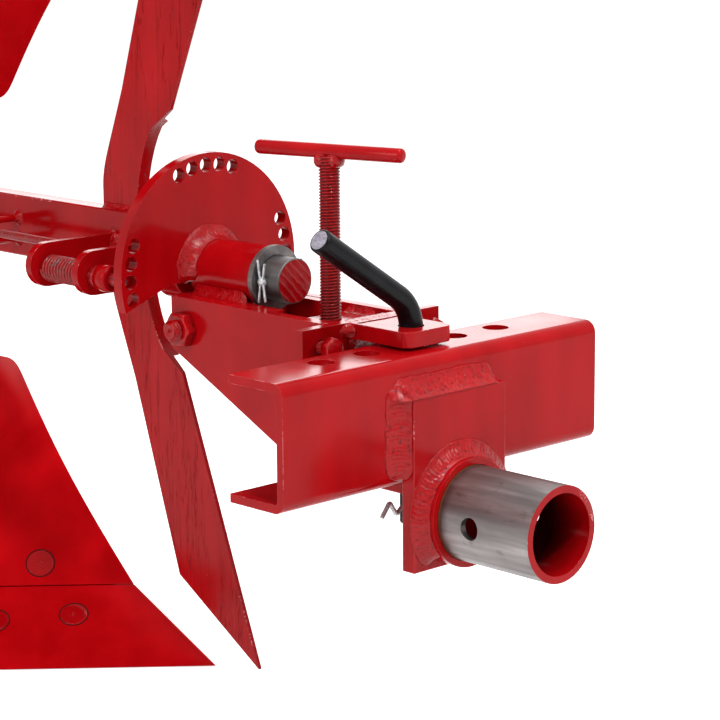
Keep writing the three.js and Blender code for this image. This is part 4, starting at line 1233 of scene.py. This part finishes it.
class PLOUGH_OT_bodies(bpy.types.Operator):
    """Build both plough bodies with their bolts"""

    bl_idname = "plough.bodies"
    bl_label = "Plough bodies"

    def execute(self, context):
        radius = settings().fittings.plough_bolt / 2
        shaft = pivot("turnover")
        for side in (UPPER, LOWER):
            for part in ("leg", "landside", "frog", "brace"):
                softened(f"{part}_{side}")
            flowing(f"mouldboard_{side}")
            flowing(f"share_{side}")
            front = bmesh.new()
            behind = bmesh.new()
            for seed, (part, across_furrow, above_ground, nut) in enumerate(BOLTS):
                y = across_furrow * MM
                z = above_ground * MM if side == LOWER else 2 * shaft.z - above_ground * MM
                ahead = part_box(f"{part}_{side}")[1].x + 20 * MM
                place, out = surface_at(f"{part}_{side}", at(ahead, y, z), -X)
                flush_bolt(front, place, out, radius, seed)
                if nut:
                    nut_behind(behind, place - out * (BOARD + FROG) * MM, -out)
            publish(f"flush_bolts_{side}", front, ("red_enamel", "dark_gap"), "plough_beam")

            low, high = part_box(f"landside_{side}")
            leg_low, leg_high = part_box(f"leg_{side}")
            for share in (0.30, 0.52):
                x = low.x + (high.x - low.x) * share
                if leg_low.x + 8 * MM < x < leg_high.x - 8 * MM:
                    nut_behind(behind, at(x, leg_low.y, (low.z + high.z) / 2), -Y)
            publish(f"plough_bolts_{side}", behind, ("red_thread",), "plough_beam")
        return {"FINISHED"}


def stand(name, data, place, turn):
    """Puts up a lamp or the camera, turned by a quaternion."""
    made = bpy.data.objects.new(name, data)
    made.location = place
    made.rotation_mode = "QUATERNION"
    made.rotation_quaternion = turn
    bpy.context.scene.collection.objects.link(made)
    return made


class PLOUGH_OT_stage(bpy.types.Operator):
    """Set up the floor, the lamps and the camera"""

    bl_idname = "plough.stage"
    bl_label = "Stage"

    def execute(self, context):
        stage = settings().stage
        scene = context.scene
        scene.view_settings.view_transform = "Standard"

        world = bpy.data.worlds.new("studio")
        scene.world = world
        world.use_nodes = True
        tree = world.node_tree
        level = background_rays(Socket(tree)).ramp(0, 1, stage.ambient, 1.0)
        tree.links.new(level.output, tree.nodes["Background"].inputs["Strength"])
        tree.nodes["Background"].inputs["Color"].default_value = (1, 1, 1, 1)

        bm = bmesh.new()
        half = stage.floor / 2
        corners = [(-half, -half), (half, -half), (half, half), (-half, half)]
        bm.faces.new([bm.verts.new((x, y, -0.5 * MM)) for x, y in corners])
        mesh = bpy.data.meshes.new("floor")
        bm.to_mesh(mesh)
        bm.free()
        floor = bpy.data.objects.new("floor", mesh)
        scene.collection.objects.link(floor)
        paper = Finish("pale_floor", base_color=(0.86, 0.86, 0.86, 1), roughness=0.9,
                       specular_ior_level=0.0)
        tree = paper.material.node_tree
        glow = paper.bench.node(
            "ShaderNodeEmission", {}, {"Color": (1, 1, 1, 1), "Strength": 0.6})
        both = paper.bench.node("ShaderNodeAddShader")
        tree.links.new(paper.shader.outputs[0], both.output.node.inputs[0])
        tree.links.new(glow.output, both.output.node.inputs[1])
        mixed = paper.bench.node("ShaderNodeMixShader", {}, {0: background_rays(paper.bench)})
        tree.links.new(paper.shader.outputs[0], mixed.output.node.inputs[1])
        tree.links.new(both.output, mixed.output.node.inputs[2])
        tree.links.new(mixed.output, tree.nodes["Material Output"].inputs["Surface"])
        mesh.materials.append(paper.material)

        centre = at(0.05, 0, 0.2)
        for name, place, size, power in (
                ("overhead", at(0.3, 0.2, 2.2), 1.2, 18),
                ("tractor_side", at(2.2, 0.5, 1.5), 0.7, 14),
                ("furrow_side", at(0.3, -2.4, 1.3), 1.2, 22),
                ("sparkle", at(1.4, -0.4, 2.3), 0.16, 22),
                ("behind", at(-1.8, 1.6, 1.25), 1.3, 12)):
            lamp = bpy.data.lights.new(name, "AREA")
            lamp.shape = "SQUARE"
            lamp.size = size
            lamp.energy = power * stage.lamps
            stand(name, lamp, place, (centre - place).to_track_quat("-Z", "Y"))

        eye = bpy.data.cameras.new("camera")
        eye.lens = stage.lens
        eye.sensor_width = 36
        aim = Vector(stage.camera_aim).to_track_quat("-Z", "Y").to_matrix()
        roll = Matrix.Rotation(stage.camera_roll, 3, "Z")
        scene.camera = stand("camera", eye, stage.camera_place, (aim @ roll).to_quaternion())
        return {"FINISHED"}


class PLOUGH_PT_workshop(bpy.types.Panel):
    """The workshop's operators and their settings"""

    bl_idname = "PLOUGH_PT_workshop"
    bl_label = "Plough workshop"
    bl_space_type = "VIEW_3D"
    bl_region_type = "UI"
    bl_category = "Plough"

    def draw(self, context):
        for operator in OPERATORS:
            self.layout.operator(operator.bl_idname)
        for name in ("paint", "metal", "weld", "thread", "fittings", "stage"):
            group = getattr(context.scene.plough, name)
            box = self.layout.box()
            for key in group.__annotations__:
                box.prop(group, key)


OPERATORS = (
    PLOUGH_OT_stage,
    PLOUGH_OT_hitch,
    PLOUGH_OT_swing_pin,
    PLOUGH_OT_swing_frame,
    PLOUGH_OT_depth_screw,
    PLOUGH_OT_pitch_frame,
    PLOUGH_OT_turnover,
    PLOUGH_OT_latch,
    PLOUGH_OT_knives,
    PLOUGH_OT_bodies,
)
CLASSES = (
    PaintSettings, MetalSettings, WeldSettings, ThreadSettings, FittingSettings, StageSettings,
    PloughSettings,
    *OPERATORS, PLOUGH_PT_workshop,
)


def register():
    for made in CLASSES:
        bpy.utils.register_class(made)
    bpy.types.Scene.plough = bpy.props.PointerProperty(type=PloughSettings)


def unregister():
    del bpy.types.Scene.plough
    for made in reversed(CLASSES):
        bpy.utils.unregister_class(made)


def main():
    """Registers the workshop and builds the whole plough."""
    register()
    for operator in OPERATORS:
        group, name = operator.bl_idname.split(".")
        getattr(getattr(bpy.ops, group), name)()


if __name__ == "__main__":
    main()
